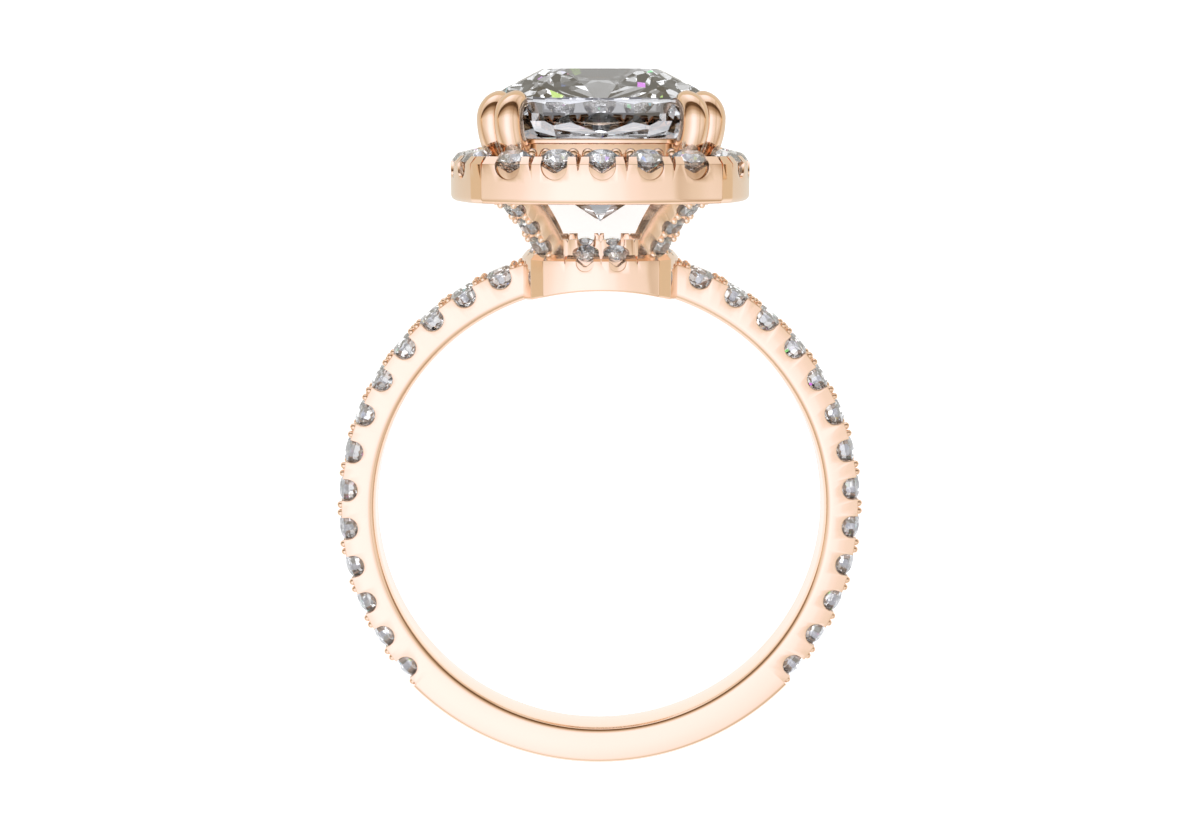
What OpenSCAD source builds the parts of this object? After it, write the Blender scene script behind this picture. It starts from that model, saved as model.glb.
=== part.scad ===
// Halo ring: pave shank, square base, four struts, cushion halo, eight claws and a cushion-cut stone.
// It is modelled upright, finger axis along Y and head up Z, and then laid on its side on the floor.

/* [Shank] */
// Diameter of the finger hole
finger_d = 17; // [15:0.5:20]
// Width of the shank along the finger
shank_w = 1.6; // [1.5:0.05:2.2]
// Radial thickness of the plain lower shank
shank_t = 1.44; // [1.4:0.05:1.8]
// Radius of the rounded edges of the shank and of the halo's lower rim
edge_r = 0.2; // [0.1:0.02:0.25]
// Radial thickness of the shank's side faces beside the stones
pave_t = 1.18; // [1.1:0.02:1.3]
// Radial thickness from the finger hole to the tops of the stones' prongs
prong_t = 1.5; // [1.46:0.02:1.6]
// How far the prongs stand in from the side face
prong_step = 0.05; // [0.03:0.01:0.1]
// Width of the groove between the two rows of prongs
shank_groove = 0.5; // [0.3:0.05:0.7]

/* [Shank stones] */
// Diameter of a shank stone
shank_stone_d = 1.2; // [1:0.05:1.25]
// Stones on each side of the shank
shank_stone_count = 13; // [9:1:14]
// Spacing of the shank stones, measured along the girdles
shank_pitch = 1.5; // [1.4:0.02:1.6]
// Distance from the base to the middle of the first stone
shank_lead = 0.85; // [0.75:0.05:1.1]
// Height of the prong tops over the stones' girdles
shank_prong_h = 0.3; // [0.25:0.01:0.35]
// Width of the round-bottomed cut that shows each shank stone from the side
shank_cut_w = 0.82; // [0.7:0.02:0.9]
// Depth of that cut below the girdle
shank_cut_h = 0.52; // [0.5:0.02:0.6]

/* [Base] */
// Half width of the base at the middle of a side
base_u = 2.9; // [2.7:0.05:3.2]
// Thickness of the base's walls
base_wall = 0.95; // [0.85:0.05:1.05]
// Distance from the base's middle to the centres of its bowed sides
base_bow = 3.3; // [3:0.1:4]
// How much is cut off each corner of the base
base_corner_cut = 0.14; // [0.1:0.01:0.2]
// Height of the outer prongs over the finger hole
base_h = 1.3; // [1.25:0.05:1.5]
// Rise of the inner prongs over the outer prongs
base_rise = 0.53; // [0.4:0.01:0.6]
// Gap between the base's underside and the finger hole's cylinder
base_relief = 0.03; // [0.02:0.01:0.08]
// Diameter of a base stone
base_stone_d = 0.95; // [0.8:0.01:0.96]
// Spacing of the two stones on each side of the base
base_pitch = 1.1; // [1.08:0.01:1.2]
// Outward lean of the base stones in degrees
base_lean = 28; // [22:1:32]
// Width of the round-bottomed cuts in the base's walls
base_cut_w = 0.63; // [0.5:0.01:0.7]
// Depth of those cuts below the outer prongs
base_cut_h = 0.57; // [0.5:0.01:0.65]
// Distance from a side's middle to its end notches
base_notch_x = 1.3; // [1.2:0.02:1.4]

/* [Struts] */
// Width of a strut across its row of stones
strut_w = 1; // [0.95:0.05:1.2]
// Thickness of a strut from its stones' face to its inner face
strut_t = 0.73; // [0.6:0.01:0.85]
// Radius of the strut's flared curve
strut_bend = 5.6; // [5:0.2:8]
// Diameter of a strut stone
strut_stone_d = 0.8; // [0.7:0.02:0.82]
// Spacing of the strut stones
strut_pitch = 0.92; // [0.9:0.01:0.98]
// Least length of a strut beyond the middle of its end stone
strut_lead = 0.47; // [0.44:0.01:0.5]
// Radius of the bead prongs on the struts
strut_bead_r = 0.13; // [0.1:0.01:0.15]

/* [Halo] */
// Half width of the halo at the middle of a side
halo_u = 5.5; // [5.3:0.05:5.8]
// Distance from the halo's middle to the centres of its bowed sides
halo_bow = 4.1; // [3.8:0.1:4.6]
// How much is cut off each corner of the halo
halo_corner_cut = 0.092; // [0.06:0.002:0.14]
// Height of the halo's lower rim over the finger hole
halo_lift = 3.21; // [3:0.05:3.6]
// Height of the halo's wall up to the outer prongs
halo_h = 1.62; // [1.5:0.02:1.8]
// Rise of the inner prongs over the outer prongs
halo_rise = 0.3; // [0.2:0.01:0.35]
// Diameter of a halo stone
halo_stone_d = 1.26; // [1.1:0.02:1.3]
// Distance from a corner stone's middle to the plane through the corner
halo_corner_lead = 0.91; // [0.86:0.01:0.96]
// Distance from the halo's wall to the middle of its stones
halo_inset = 0.65; // [0.6:0.01:0.7]
// Outward lean of the halo stones in degrees
halo_lean = 14; // [8:1:16]
// Width of the round-bottomed cuts in the halo's wall
halo_cut_w = 0.92; // [0.8:0.02:1]
// Depth of those cuts below the outer prongs
halo_cut_h = 0.78; // [0.7:0.02:0.9]

/* [Seat rail and claws] */
// Gap between the cup's bore and the stone at the rail's top
rail_gap = 0.08; // [0.07:0.01:0.15]
// Thickness of the cup's wall under the rail
cup_wall = 0.34; // [0.3:0.02:0.4]
// How far the rail stands out from the cup's wall
rail_out = 0.07; // [0.04:0.01:0.1]
// Height of the rail
rail_h = 0.19; // [0.15:0.01:0.25]
// Radius of a claw's bar
claw_r = 0.41; // [0.36:0.01:0.42]
// Distance from the stone's corner to a claw's middle where it stands widest
claw_out = 0.434; // [0.4:0.002:0.48]
// Spacing of the two claws of a pair
claw_pitch = 0.86; // [0.86:0.02:0.94]
// Radius of a claw's lower curve
claw_low_r = 2; // [1.8:0.1:3]
// Radius of a claw's bend over the stone
claw_top_r = 0.55; // [0.5:0.01:0.6]
// Turn of that bend in degrees
claw_turn = 68; // [60:1:75]
// Height of the claws' lower ends over the halo's outer prongs
claw_foot_h = 0.09; // [0:0.01:0.15]

/* [Centre stone] */
// Half width of the centre stone at the middle of a side
stone_u = 4.1; // [4:0.02:4.15]
// Squareness of its outline, 2 for a circle
stone_square = 2.9; // [2.7:0.1:3]
// Half width of the table
table_u = 2.17; // [1.9:0.05:2.4]
// Height of the crown over the girdle
crown_h = 1.06; // [0.9:0.02:1.2]
// Height of the girdle
girdle_h = 0.15; // [0.1:0.01:0.2]
// Depth of the pavilion under the girdle
pavilion_h = 4.3; // [4.1:0.05:4.4]
// Height of the girdle's lower edge over the rail
stone_lift = 1.24; // [1.2:0.02:1.3]

/* [Fits] */
// Gap between a small stone and its seat
seat_gap = 0.02; // [0.015:0.005:0.04]
// Gap between the centre stone and the claws' notches
notch_gap = 0.03; // [0.02:0.005:0.05]

/* [Hidden] */
$fn = 96;
finger_r = finger_d / 2;
far = 1;

// Proportions of the round brilliants as shares of their diameter
brilliant_table = 0.56;
brilliant_crown = 0.16;
brilliant_pavilion = 0.43;

// Openness of the seats over the stones' tables
seat_open = 0.3;
halo_seat_open = 0.12;

// V notches between the prongs of a pair: half width, depth and lengths through a wall and a prong row
notch_half = 0.08;
notch_deep = 0.2;
wall_notch = 0.8;
row_notch = 1.1;

// Shank
shank_r = finger_r + shank_t;
pave_r = finger_r + pave_t;
prong_r = finger_r + prong_t;
prong_root = 0.2;
shank_girdle_r = prong_r - shank_prong_h;
shank_angle = 2 * asin(shank_pitch / 2 / shank_girdle_r);
shank_first = asin((base_u + shank_lead) / shank_girdle_r);
pave_end = shank_first + (shank_stone_count - 0.5) * shank_angle;
groove_drop = 0.08;
groove_r = shank_girdle_r - groove_drop;

// Base
base_corner = corner_reach(base_u, base_bow) - base_corner_cut;
base_top = finger_r + base_h;
base_in = base_u - base_wall;
base_inset = 0.45;
base_line = base_u - base_inset;
base_row = 0.28;
base_row_h = 0.5;
base_groove_h = 0.22;
base_root = 0.3;
base_stone_h = 0.09;
base_stone_z = base_top + base_stone_h;
base_angle = 2 * asin(base_pitch / 2 / (base_line + base_bow));
base_end_angle = asin(base_notch_x / (base_u + base_bow));

// Halo
halo_corner = corner_reach(halo_u, halo_bow) - halo_corner_cut;
halo_z0 = finger_r + halo_lift;
halo_z1 = halo_z0 + halo_h;
halo_line = halo_u - halo_inset;
halo_stone_drop = 0.03;
halo_stone_z = halo_z1 - halo_stone_drop;
side_stones = 5;
halo_stone_count = 4 * side_stones;
halo_angle = 2 * lead_angle(halo_line, halo_bow, halo_corner_lead) / (side_stones - 1);
halo_outer_row = 0.32;
halo_prong_gap = 0.4;
halo_inner_edge = halo_line - halo_prong_gap;
halo_inner_row = 0.45;
halo_groove_h = 0.38;
halo_groove_z = halo_z1 - halo_groove_h;
halo_ledge = 0.1;
wall_root = 0.5;

// Centre stone and rail
rail_rise = 0.61;
rail_z = halo_z1 + rail_rise;
girdle_z = rail_z + stone_lift;
culet_z = girdle_z - pavilion_h;
stone_points = 24;
break_1 = [0.78, 0.67];
break_2 = [0.463, 0.295];
stone_at_rail = stone_u * (break_1[0] + (1 - break_1[0]) * (rail_z - culet_z - break_1[1] * pavilion_h)
    / ((1 - break_1[1]) * pavilion_h));
cup_in = stone_at_rail + rail_gap;
cup_out = cup_in + cup_wall;

// Claws
claw_d = stone_reach(stone_u, 45) + claw_out;
claw_drop = 0.58;
claw_z = girdle_z - claw_drop;
claw_low_turn = asin((claw_z - halo_z1 - claw_foot_h) / claw_low_r);

// Struts, in the upright plane through a corner: distance from the head's axis and height
strut_foot_in = 0.37;
strut_foot_drop = 0.1;
strut_head_in = 1.36;
strut_sink = 0.3;
strut_foot = [base_corner - strut_foot_in, base_top - strut_foot_drop];
strut_head = [halo_corner - strut_head_in, halo_z0];
strut_chord = strut_head - strut_foot;
strut_len = norm(strut_chord);
strut_mid = (strut_head + strut_foot) / 2;
strut_drop = sqrt(strut_bend * strut_bend - strut_len * strut_len / 4);
strut_centre = strut_mid + [strut_chord[1], -strut_chord[0]] / strut_len * strut_drop;
strut_mid_angle = atan2(strut_mid[1] - strut_centre[1], strut_mid[0] - strut_centre[0]);
strut_half_angle = asin(strut_len / 2 / strut_bend);
strut_step = 2 * asin(strut_pitch / 2 / strut_bend);
strut_root = 4.5;
strut_arc = strut_bend * strut_half_angle * PI / 90;
strut_stone_count = 1 + floor((strut_arc - 2 * strut_lead) / strut_pitch);
strut_end_stone = (strut_stone_count - 1) / 2;
strut_bead_in = 0.03;

// Lying pose: the halo's lower rim and the shank's lowest edge both touch the floor
lie_lean = atan((halo_u - shank_w / 2) / (halo_z0 + shank_r));
lie_turn = 90 - lie_lean;
table_z = girdle_z + girdle_h + crown_h;
floor_z = -(shank_w / 2 - edge_r) * sin(lie_turn) - (shank_r - edge_r) * cos(lie_turn) - edge_r;
back_y = table_u * cos(lie_turn) + table_z * sin(lie_turn);
front_y = -(shank_w / 2 - edge_r) * cos(lie_turn) - (shank_r - edge_r) * sin(lie_turn) - edge_r;

// Distance from a cushion's middle to its uncut corner
function corner_reach(u, bow) = (sqrt(2 * (u + bow) * (u + bow) - bow * bow) - bow) / sqrt(2);

// Angle from a side's middle to the point of a cushion's outline that stands lead from the corner's plane
function lead_angle(u, bow, lead) = acos((bow + sqrt(2) * lead) / (sqrt(2) * (u + bow))) - 45;

// Distance from the middle to the centre stone's outline, in a direction given in degrees
function stone_reach(u, angle) =
    u / pow(pow(abs(cos(angle)), stone_square) + pow(abs(sin(angle)), stone_square), 1 / stone_square);

function halo_name(i) = str("halo_stone_", i < 10 ? "0" : "", i);
function strut_name(i) = str("strut_stones_", i);

// Laid on its side on the floor, centred over the origin
module lie() {
    translate([0, -(back_y + front_y) / 2, -floor_z])
        rotate([-lie_turn, 0, 0])
            children();
}

// Prism with four bowed sides, u from its middle to a side
module cushion(u, bow, z0, z1) {
    intersection() {
        side_cylinder(0, u, bow, z0, z1);
        side_cylinder(90, u, bow, z0, z1);
        side_cylinder(180, u, bow, z0, z1);
        side_cylinder(270, u, bow, z0, z1);
    }
}

module side_cylinder(turn, u, bow, z0, z1) {
    rotate([0, 0, turn])
        translate([-bow, 0, z0])
            cylinder(r = u + bow, h = z1 - z0);
}

// Disc of one bowed side with a rounded lower edge
module rim_disc(turn, u, bow, z0, z1, r) {
    rotate([0, 0, turn])
        translate([-bow, 0, z0])
            rotate_extrude()
                rim_half(u + bow, z1 - z0, r);
}

module rim_half(radius, h, r) {
    square([radius - r, h]);
    translate([0, r])
        square([radius, h - r]);
    translate([radius - r, r])
        circle(r = r);
}

// Square box turned to cut the corners of a cushion, half wide from its middle to a face
module corner_box(half, z0, z1) {
    rotate([0, 0, 45])
        translate([-half, -half, z0])
            cube([2 * half, 2 * half, z1 - z0]);
}

// Places its children on the bowed side number side, angle degrees from its middle, at distance u
module on_side(side, angle, u, bow, z) {
    rotate([0, 0, 90 * side - 90])
        translate([-bow, 0, 0])
            rotate([0, 0, angle])
                translate([u + bow, 0, z])
                    children();
}

// Places its children on a shank stone: number k of the side towards +X (1) or -X (-1), axis outwards
module on_shank(side, k) {
    rotate([0, side * (shank_first + k * shank_angle), 0])
        translate([0, 0, shank_girdle_r])
            children();
}

// Places its children on strut number i, step steps from its middle, axis out of its stones' face
module on_strut(i, step) {
    angle = strut_mid_angle - step * strut_step;
    rotate([0, 0, 90 * i - 45])
        translate([strut_centre[0], 0, strut_centre[1]])
            rotate([0, -angle, 0])
                translate([strut_bend, 0, 0])
                    rotate([0, -90, 0])
                        children();
}

// Round brilliant with its girdle at z = 0 and its table up
module brilliant(d) {
    table = [for (i = [0 : 7])
        [d / 2 * brilliant_table * cos(45 * i + 22.5), d / 2 * brilliant_table * sin(45 * i + 22.5),
            d * brilliant_crown]];
    girdle = [for (j = [0 : 15]) [d / 2 * cos(22.5 * j), d / 2 * sin(22.5 * j), 0]];
    points = concat(table, girdle, [[0, 0, -d * brilliant_pavilion]]);
    polyhedron(points, concat(
        [[for (i = [7 : -1 : 0]) i]],
        [for (i = [0 : 7]) [i, 9 + 2 * i, 8 + 2 * i]],
        [for (i = [0 : 7]) [i, 8 + (2 * i + 2) % 16, 9 + 2 * i]],
        [for (i = [0 : 7]) [i, (i + 1) % 8, 8 + (2 * i + 2) % 16]],
        [for (j = [0 : 15]) [8 + j, 8 + (j + 1) % 16, 24]]));
}

// Seat of a round brilliant: the stone's own profile, grown by the gap, open over its table
module seat(d, open_h) {
    r = d / 2 + seat_gap;
    table_r = d / 2 * brilliant_table + seat_gap;
    rotate([0, 0, 180])
        rotate_extrude()
            polygon([[0, -d * brilliant_pavilion - 1.5 * seat_gap], [r, -seat_gap / 2], [r, seat_gap / 2],
                [table_r, d * brilliant_crown + seat_gap], [table_r, d * brilliant_crown + open_h],
                [0, d * brilliant_crown + open_h]]);
}

// Cut with a round bottom and straight sides, running along +X from the origin, bottom at z = 0
module round_cut(w, length) {
    rotate([90, 0, 90])
        linear_extrude(height = length) {
            translate([0, w / 2])
                circle(d = w);
            translate([-w / 2, w / 2])
                square([w, far]);
        }
}

// V notch running along X about the origin, its bottom at z = 0
module v_notch(half, deep, length) {
    rotate([90, 0, 90])
        translate([0, 0, -length / 2])
            linear_extrude(height = length)
                polygon([[0, 0], [2 * half, 2 * deep], [-2 * half, 2 * deep]]);
}

module shank_profile(r0, r1) {
    w = shank_w / 2;
    translate([r0, -w + edge_r])
        square([r1 - r0, 2 * (w - edge_r)]);
    translate([r0 + edge_r, -w])
        square([r1 - r0 - 2 * edge_r, 2 * w]);
    for (x = [r0 + edge_r, r1 - edge_r])
        for (y = [-w + edge_r, w - edge_r])
            translate([x, y])
                circle(r = edge_r);
}

// Band about the finger axis from radius r0 to r1 and half wide, over the angles a0 to a1 from the head
module band(r0, r1, half, a0, a1) {
    rotate([90, a1 - 90, 0])
        rotate_extrude(angle = a1 - a0)
            translate([r0, -half])
                square([r1 - r0, 2 * half]);
}

// That band over the stones of one side of the shank
module prong_band(side, r0, r1, half) {
    near = shank_first - shank_angle / 2;
    band(r0, r1, half, side > 0 ? near : -pave_end, side > 0 ? pave_end : -near);
}

module shank_blank() {
    difference() {
        rotate([90, 0, 0])
            rotate_extrude()
                shank_profile(finger_r, shank_r);
        band(pave_r, shank_r + far, shank_w, -pave_end, pave_end);
        cushion(base_u - base_root, base_bow, 0, prong_r + far);
    }
    for (side = [-1, 1])
        difference() {
            prong_band(side, pave_r - prong_root, prong_r, shank_w / 2 - prong_step);
            prong_band(side, groove_r, prong_r + far, shank_groove / 2);
        }
}

module shank_cuts() {
    for (side = [-1, 1])
        for (k = [0 : shank_stone_count - 1])
            on_shank(side, k) {
                seat(shank_stone_d, seat_open);
                translate([0, -shank_w, -shank_cut_h])
                    rotate([0, 0, 90])
                        round_cut(shank_cut_w, 2 * shank_w);
            }
    for (side = [-1, 1])
        for (k = [-0.5 : 1 : shank_stone_count - 1.5])
            on_shank(side, k)
                translate([0, 0, shank_prong_h - notch_deep])
                    rotate([0, 0, 90])
                        v_notch(notch_half, notch_deep, 2 * shank_w);
}

module base_blank() {
    difference() {
        intersection() {
            union() {
                cushion(base_u, base_bow, 0, base_top);
                cushion(base_in + base_row, base_bow, base_top - base_row_h, base_top + base_rise);
            }
            corner_box(base_corner, 0, base_top + far);
        }
        cushion(base_in, base_bow, -far, base_top + far);
        difference() {
            cushion(base_u - base_row, base_bow, base_top - base_groove_h, base_top + far);
            cushion(base_in + base_row, base_bow, base_top - base_row_h, base_top + 2 * far);
        }
        rotate([90, 0, 0])
            cylinder(r = finger_r + base_relief, h = 4 * base_u, center = true);
    }
}

// The sides of the base that meet the shank have no round-bottomed cuts
module base_cuts() {
    for (side = [0, 2])
        for (k = [-0.5, 0.5])
            on_side(side, k * base_angle, base_line, base_bow, base_top - base_cut_h)
                round_cut(base_cut_w, far);
    for (side = [0 : 3]) {
        for (k = [-0.5, 0.5])
            on_side(side, k * base_angle, base_line, base_bow, base_stone_z)
                rotate([0, base_lean, 0])
                    seat(base_stone_d, seat_open);
        for (angle = [-base_end_angle, 0, base_end_angle])
            on_side(side, angle, base_u, base_bow, base_top - notch_deep)
                v_notch(notch_half, notch_deep, wall_notch);
        for (angle = [-base_end_angle, 0, base_end_angle])
            on_side(side, angle, base_in, base_bow, base_top + base_rise - notch_deep)
                v_notch(notch_half, notch_deep, wall_notch);
    }
}

module strut_blank(i) {
    rotate([0, 0, 90 * i - 45])
        intersection() {
            rotate([90, 0, 0])
                linear_extrude(height = strut_w, center = true)
                    intersection() {
                        translate(strut_centre)
                            difference() {
                                circle(r = strut_bend + strut_t);
                                circle(r = strut_bend);
                            }
                        polygon([strut_centre,
                            strut_ray(strut_mid_angle - strut_half_angle - strut_root),
                            strut_ray(strut_mid_angle),
                            strut_ray(strut_mid_angle + strut_half_angle + strut_root)]);
                    }
            translate([-far, -strut_w, 0])
                cube([2 * halo_u, 2 * strut_w, halo_z0 + strut_sink]);
        }
    for (step = [-strut_end_stone - 0.5 : 1 : strut_end_stone + 0.5])
        for (y = [-1, 1])
            on_strut(i, step)
                translate([0, y * (strut_w / 2 - strut_bead_r - strut_bead_in), 0])
                    sphere(r = strut_bead_r);
}

function strut_ray(angle) = strut_centre + 2 * strut_bend * [cos(angle), sin(angle)];

module strut_cuts(i) {
    for (step = [-strut_end_stone : 1 : strut_end_stone])
        on_strut(i, step)
            seat(strut_stone_d, seat_open);
}

module halo_blank() {
    difference() {
        union() {
            intersection() {
                rim_disc(0, halo_u, halo_bow, halo_z0, halo_z1, edge_r);
                rim_disc(90, halo_u, halo_bow, halo_z0, halo_z1, edge_r);
                rim_disc(180, halo_u, halo_bow, halo_z0, halo_z1, edge_r);
                rim_disc(270, halo_u, halo_bow, halo_z0, halo_z1, edge_r);
                corner_box(halo_corner, halo_z0, halo_z1);
            }
            cushion(halo_inner_edge, halo_bow, halo_z0 + wall_root, halo_z1 + halo_rise);
        }
        difference() {
            cushion(halo_u - halo_outer_row, halo_bow, halo_groove_z, halo_z1 + far);
            cushion(halo_inner_edge, halo_bow, halo_groove_z - far, halo_z1 + 2 * far);
        }
        cushion(halo_inner_edge - halo_inner_row, halo_bow, halo_z1 - halo_ledge, halo_z1 + far);
        cushion(cup_in, halo_bow, halo_z0 - far, halo_z1 + far);
    }
    difference() {
        union() {
            cushion(cup_out, halo_bow, halo_z0 + wall_root, rail_z - rail_h / 2);
            cushion(cup_out + rail_out, halo_bow, rail_z - rail_h, rail_z);
        }
        cushion(cup_in, halo_bow, halo_z0 - far, rail_z + far);
    }
}

module halo_seats(steps) {
    for (side = [0 : 3])
        for (k = steps)
            on_side(side, k * halo_angle, halo_line, halo_bow, halo_stone_z)
                rotate([0, halo_lean, 0])
                    seat(halo_stone_d, halo_seat_open);
}

module halo_cuts() {
    halo_seats([-2 : 2]);
    for (side = [0 : 3]) {
        for (k = [-2 : 2])
            on_side(side, k * halo_angle, halo_line, halo_bow, halo_z1 - halo_cut_h)
                round_cut(halo_cut_w, far);
        for (k = [-2.5 : 1 : 2.5])
            on_side(side, k * halo_angle, halo_u, halo_bow, halo_z1 - 2 * notch_deep)
                v_notch(notch_half / 2, notch_deep, wall_notch);
        for (k = [-1.5 : 1 : 1.5])
            on_side(side, k * halo_angle, halo_inner_edge, halo_bow, halo_z1 + halo_rise - notch_deep)
                v_notch(notch_half, notch_deep, row_notch);
    }
}

// Bar bent upwards round an arc in the upright XZ plane, from the origin; its centre lies towards -X
module bar_arc(radius, r, turn) {
    translate([-radius, 0, 0])
        rotate([90, 0, 0])
            rotate_extrude(angle = turn)
                translate([radius, 0])
                    circle(r = r);
}

module claw() {
    translate([claw_d, 0, claw_z]) {
        mirror([0, 0, 1])
            bar_arc(claw_low_r, claw_r, claw_low_turn);
        bar_arc(claw_top_r, claw_r, claw_turn);
        translate([-claw_top_r * (1 - cos(claw_turn)), 0, claw_top_r * sin(claw_turn)])
            sphere(r = claw_r);
    }
}

// Four pairs of claws, notched for the centre stone and clear of the halo's corner stones
module claws() {
    difference() {
        for (corner = [45 : 90 : 315])
            for (side = [-1, 1])
                rotate([0, 0, corner])
                    translate([0, side * claw_pitch / 2, 0])
                        claw();
        cushion_stone(notch_gap);
        halo_seats([-2, 2]);
    }
}

module mounting() {
    color("#e3b48c")
        lie() {
            difference() {
                shank_blank();
                shank_cuts();
            }
            difference() {
                base_blank();
                base_cuts();
            }
            for (i = [1 : 4])
                difference() {
                    strut_blank(i);
                    strut_cuts(i);
                }
            difference() {
                halo_blank();
                halo_cuts();
            }
            claws();
        }
}

// Ring of points of the centre stone's outline, half a step on where odd is 1
function stone_ring(u, z, odd) = [for (i = [0 : stone_points - 1])
    let (a = (i + odd / 2) * 360 / stone_points, r = stone_reach(u, a))
    [r * cos(a), r * sin(a), z]];

// Centre stone, or its outline grown by grow for the claws' notches
module cushion_stone(grow) {
    n = stone_points;
    u = stone_u + grow;
    points = concat(
        stone_ring(table_u + grow, table_z + grow, 0),
        stone_ring(u, girdle_z + girdle_h + grow / 2, 1),
        stone_ring(u, girdle_z - grow / 2, 1),
        stone_ring(u * break_1[0], culet_z + break_1[1] * pavilion_h - grow, 0),
        stone_ring(u * break_2[0], culet_z + break_2[1] * pavilion_h - grow, 1),
        [[0, 0, culet_z - 2 * grow]]);
    polyhedron(points, concat(
        [[for (i = [n - 1 : -1 : 0]) i]],
        ring_faces(0, n, 1),
        [for (i = [0 : n - 1]) [n + i, n + (i + 1) % n, 2 * n + (i + 1) % n, 2 * n + i]],
        ring_faces(2 * n, n, 0),
        ring_faces(3 * n, n, 1),
        [for (i = [0 : n - 1]) [4 * n + i, 4 * n + (i + 1) % n, 5 * n]]));
}

// Triangles between a ring of n points that starts at point a and the next ring, which lies under it
// and is turned half a step on (1) or back (0)
function ring_faces(a, n, ahead) = [for (i = [0 : n - 1]) each
    ahead == 1
        ? [[a + i, a + (i + 1) % n, a + n + i],
            [a + (i + 1) % n, a + n + (i + 1) % n, a + n + i]]
        : [[a + i, a + (i + 1) % n, a + n + (i + 1) % n],
            [a + i, a + n + (i + 1) % n, a + n + i]]];

module centre_stone() {
    color("#e8eef2")
        lie()
            cushion_stone(0);
}

module halo_stone(i) {
    side = floor((i - 1) / side_stones);
    k = (i - 1) % side_stones - (side_stones - 1) / 2;
    color("#dfe8ee")
        lie()
            on_side(side, k * halo_angle, halo_line, halo_bow, halo_stone_z)
                rotate([0, halo_lean, 0])
                    brilliant(halo_stone_d);
}

module base_stones() {
    color("#dfe8ee")
        lie()
            for (side = [0 : 3])
                for (k = [-0.5, 0.5])
                    on_side(side, k * base_angle, base_line, base_bow, base_stone_z)
                        rotate([0, base_lean, 0])
                            brilliant(base_stone_d);
}

module strut_stones(i) {
    color("#dfe8ee")
        lie()
            for (step = [-strut_end_stone : 1 : strut_end_stone])
                on_strut(i, step)
                    brilliant(strut_stone_d);
}

module shank_stones(side) {
    color("#dfe8ee")
        lie()
            for (k = [0 : shank_stone_count - 1])
                on_shank(side, k)
                    brilliant(shank_stone_d);
}

mounting();
centre_stone();
for (i = [1 : halo_stone_count])
    halo_stone(i);
base_stones();
for (i = [1 : 4])
    strut_stones(i);
shank_stones(-1);  // shank_stones_left
shank_stones(1);  // shank_stones_right
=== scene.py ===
"""Halo ring in light rose gold.

It has a pave shank, a square base, four struts, a cushion-shaped halo, paired claws and a cushion-cut stone.
It is modelled upright in millimetres, finger axis along Y and head up Z, and each finished piece is laid on
its side on the floor in metres, exactly where the fixed frame has it.
"""

import logging
import math
from dataclasses import dataclass, field
from enum import Enum
from typing import Iterable, Sequence

import bmesh
import bpy
from mathutils import Matrix, Vector

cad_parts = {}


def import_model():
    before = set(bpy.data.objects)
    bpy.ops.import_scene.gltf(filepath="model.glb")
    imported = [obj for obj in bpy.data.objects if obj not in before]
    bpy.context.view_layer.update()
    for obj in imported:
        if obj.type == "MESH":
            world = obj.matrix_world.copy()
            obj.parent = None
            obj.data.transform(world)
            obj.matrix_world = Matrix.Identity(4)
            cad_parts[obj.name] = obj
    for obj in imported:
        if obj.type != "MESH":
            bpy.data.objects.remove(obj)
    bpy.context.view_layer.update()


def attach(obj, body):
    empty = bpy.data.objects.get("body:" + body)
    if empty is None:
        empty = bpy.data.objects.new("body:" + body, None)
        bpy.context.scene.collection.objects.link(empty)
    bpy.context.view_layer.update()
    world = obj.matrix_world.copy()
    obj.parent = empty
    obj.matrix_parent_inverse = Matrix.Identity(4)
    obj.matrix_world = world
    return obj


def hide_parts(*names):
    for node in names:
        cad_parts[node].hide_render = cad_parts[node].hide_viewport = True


LOG = logging.getLogger("halo_ring")
BODY = "root"
SIGNS = (-1, 1)
HALO_STONES = (-2, -1, 0, 1, 2)
GAPS = (-1.5, -0.5, 0.5, 1.5)
STONE_TURN_DEG = 17.0
SNAP = 1e-5

Colour = tuple[float, float, float]
Colours = tuple[tuple[float, Colour], ...]
Tones = tuple[tuple[float, float], ...]
Inputs = dict[str | int, object]
Mesh = bmesh.types.BMesh
Ring = list[bmesh.types.BMEdge]
Socket = bpy.types.NodeSocket


class Slot(Enum):
    """Material slots of the part's record."""

    METAL = "rose_gold"
    CENTRE = "centre_stone"
    SMALL = "small_stones"


class CutShape(Enum):
    """Outline of an opening in the top edge of a wall."""

    ROUND = "round-bottomed"
    VEE = "V-shaped"


# Sizes


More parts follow.
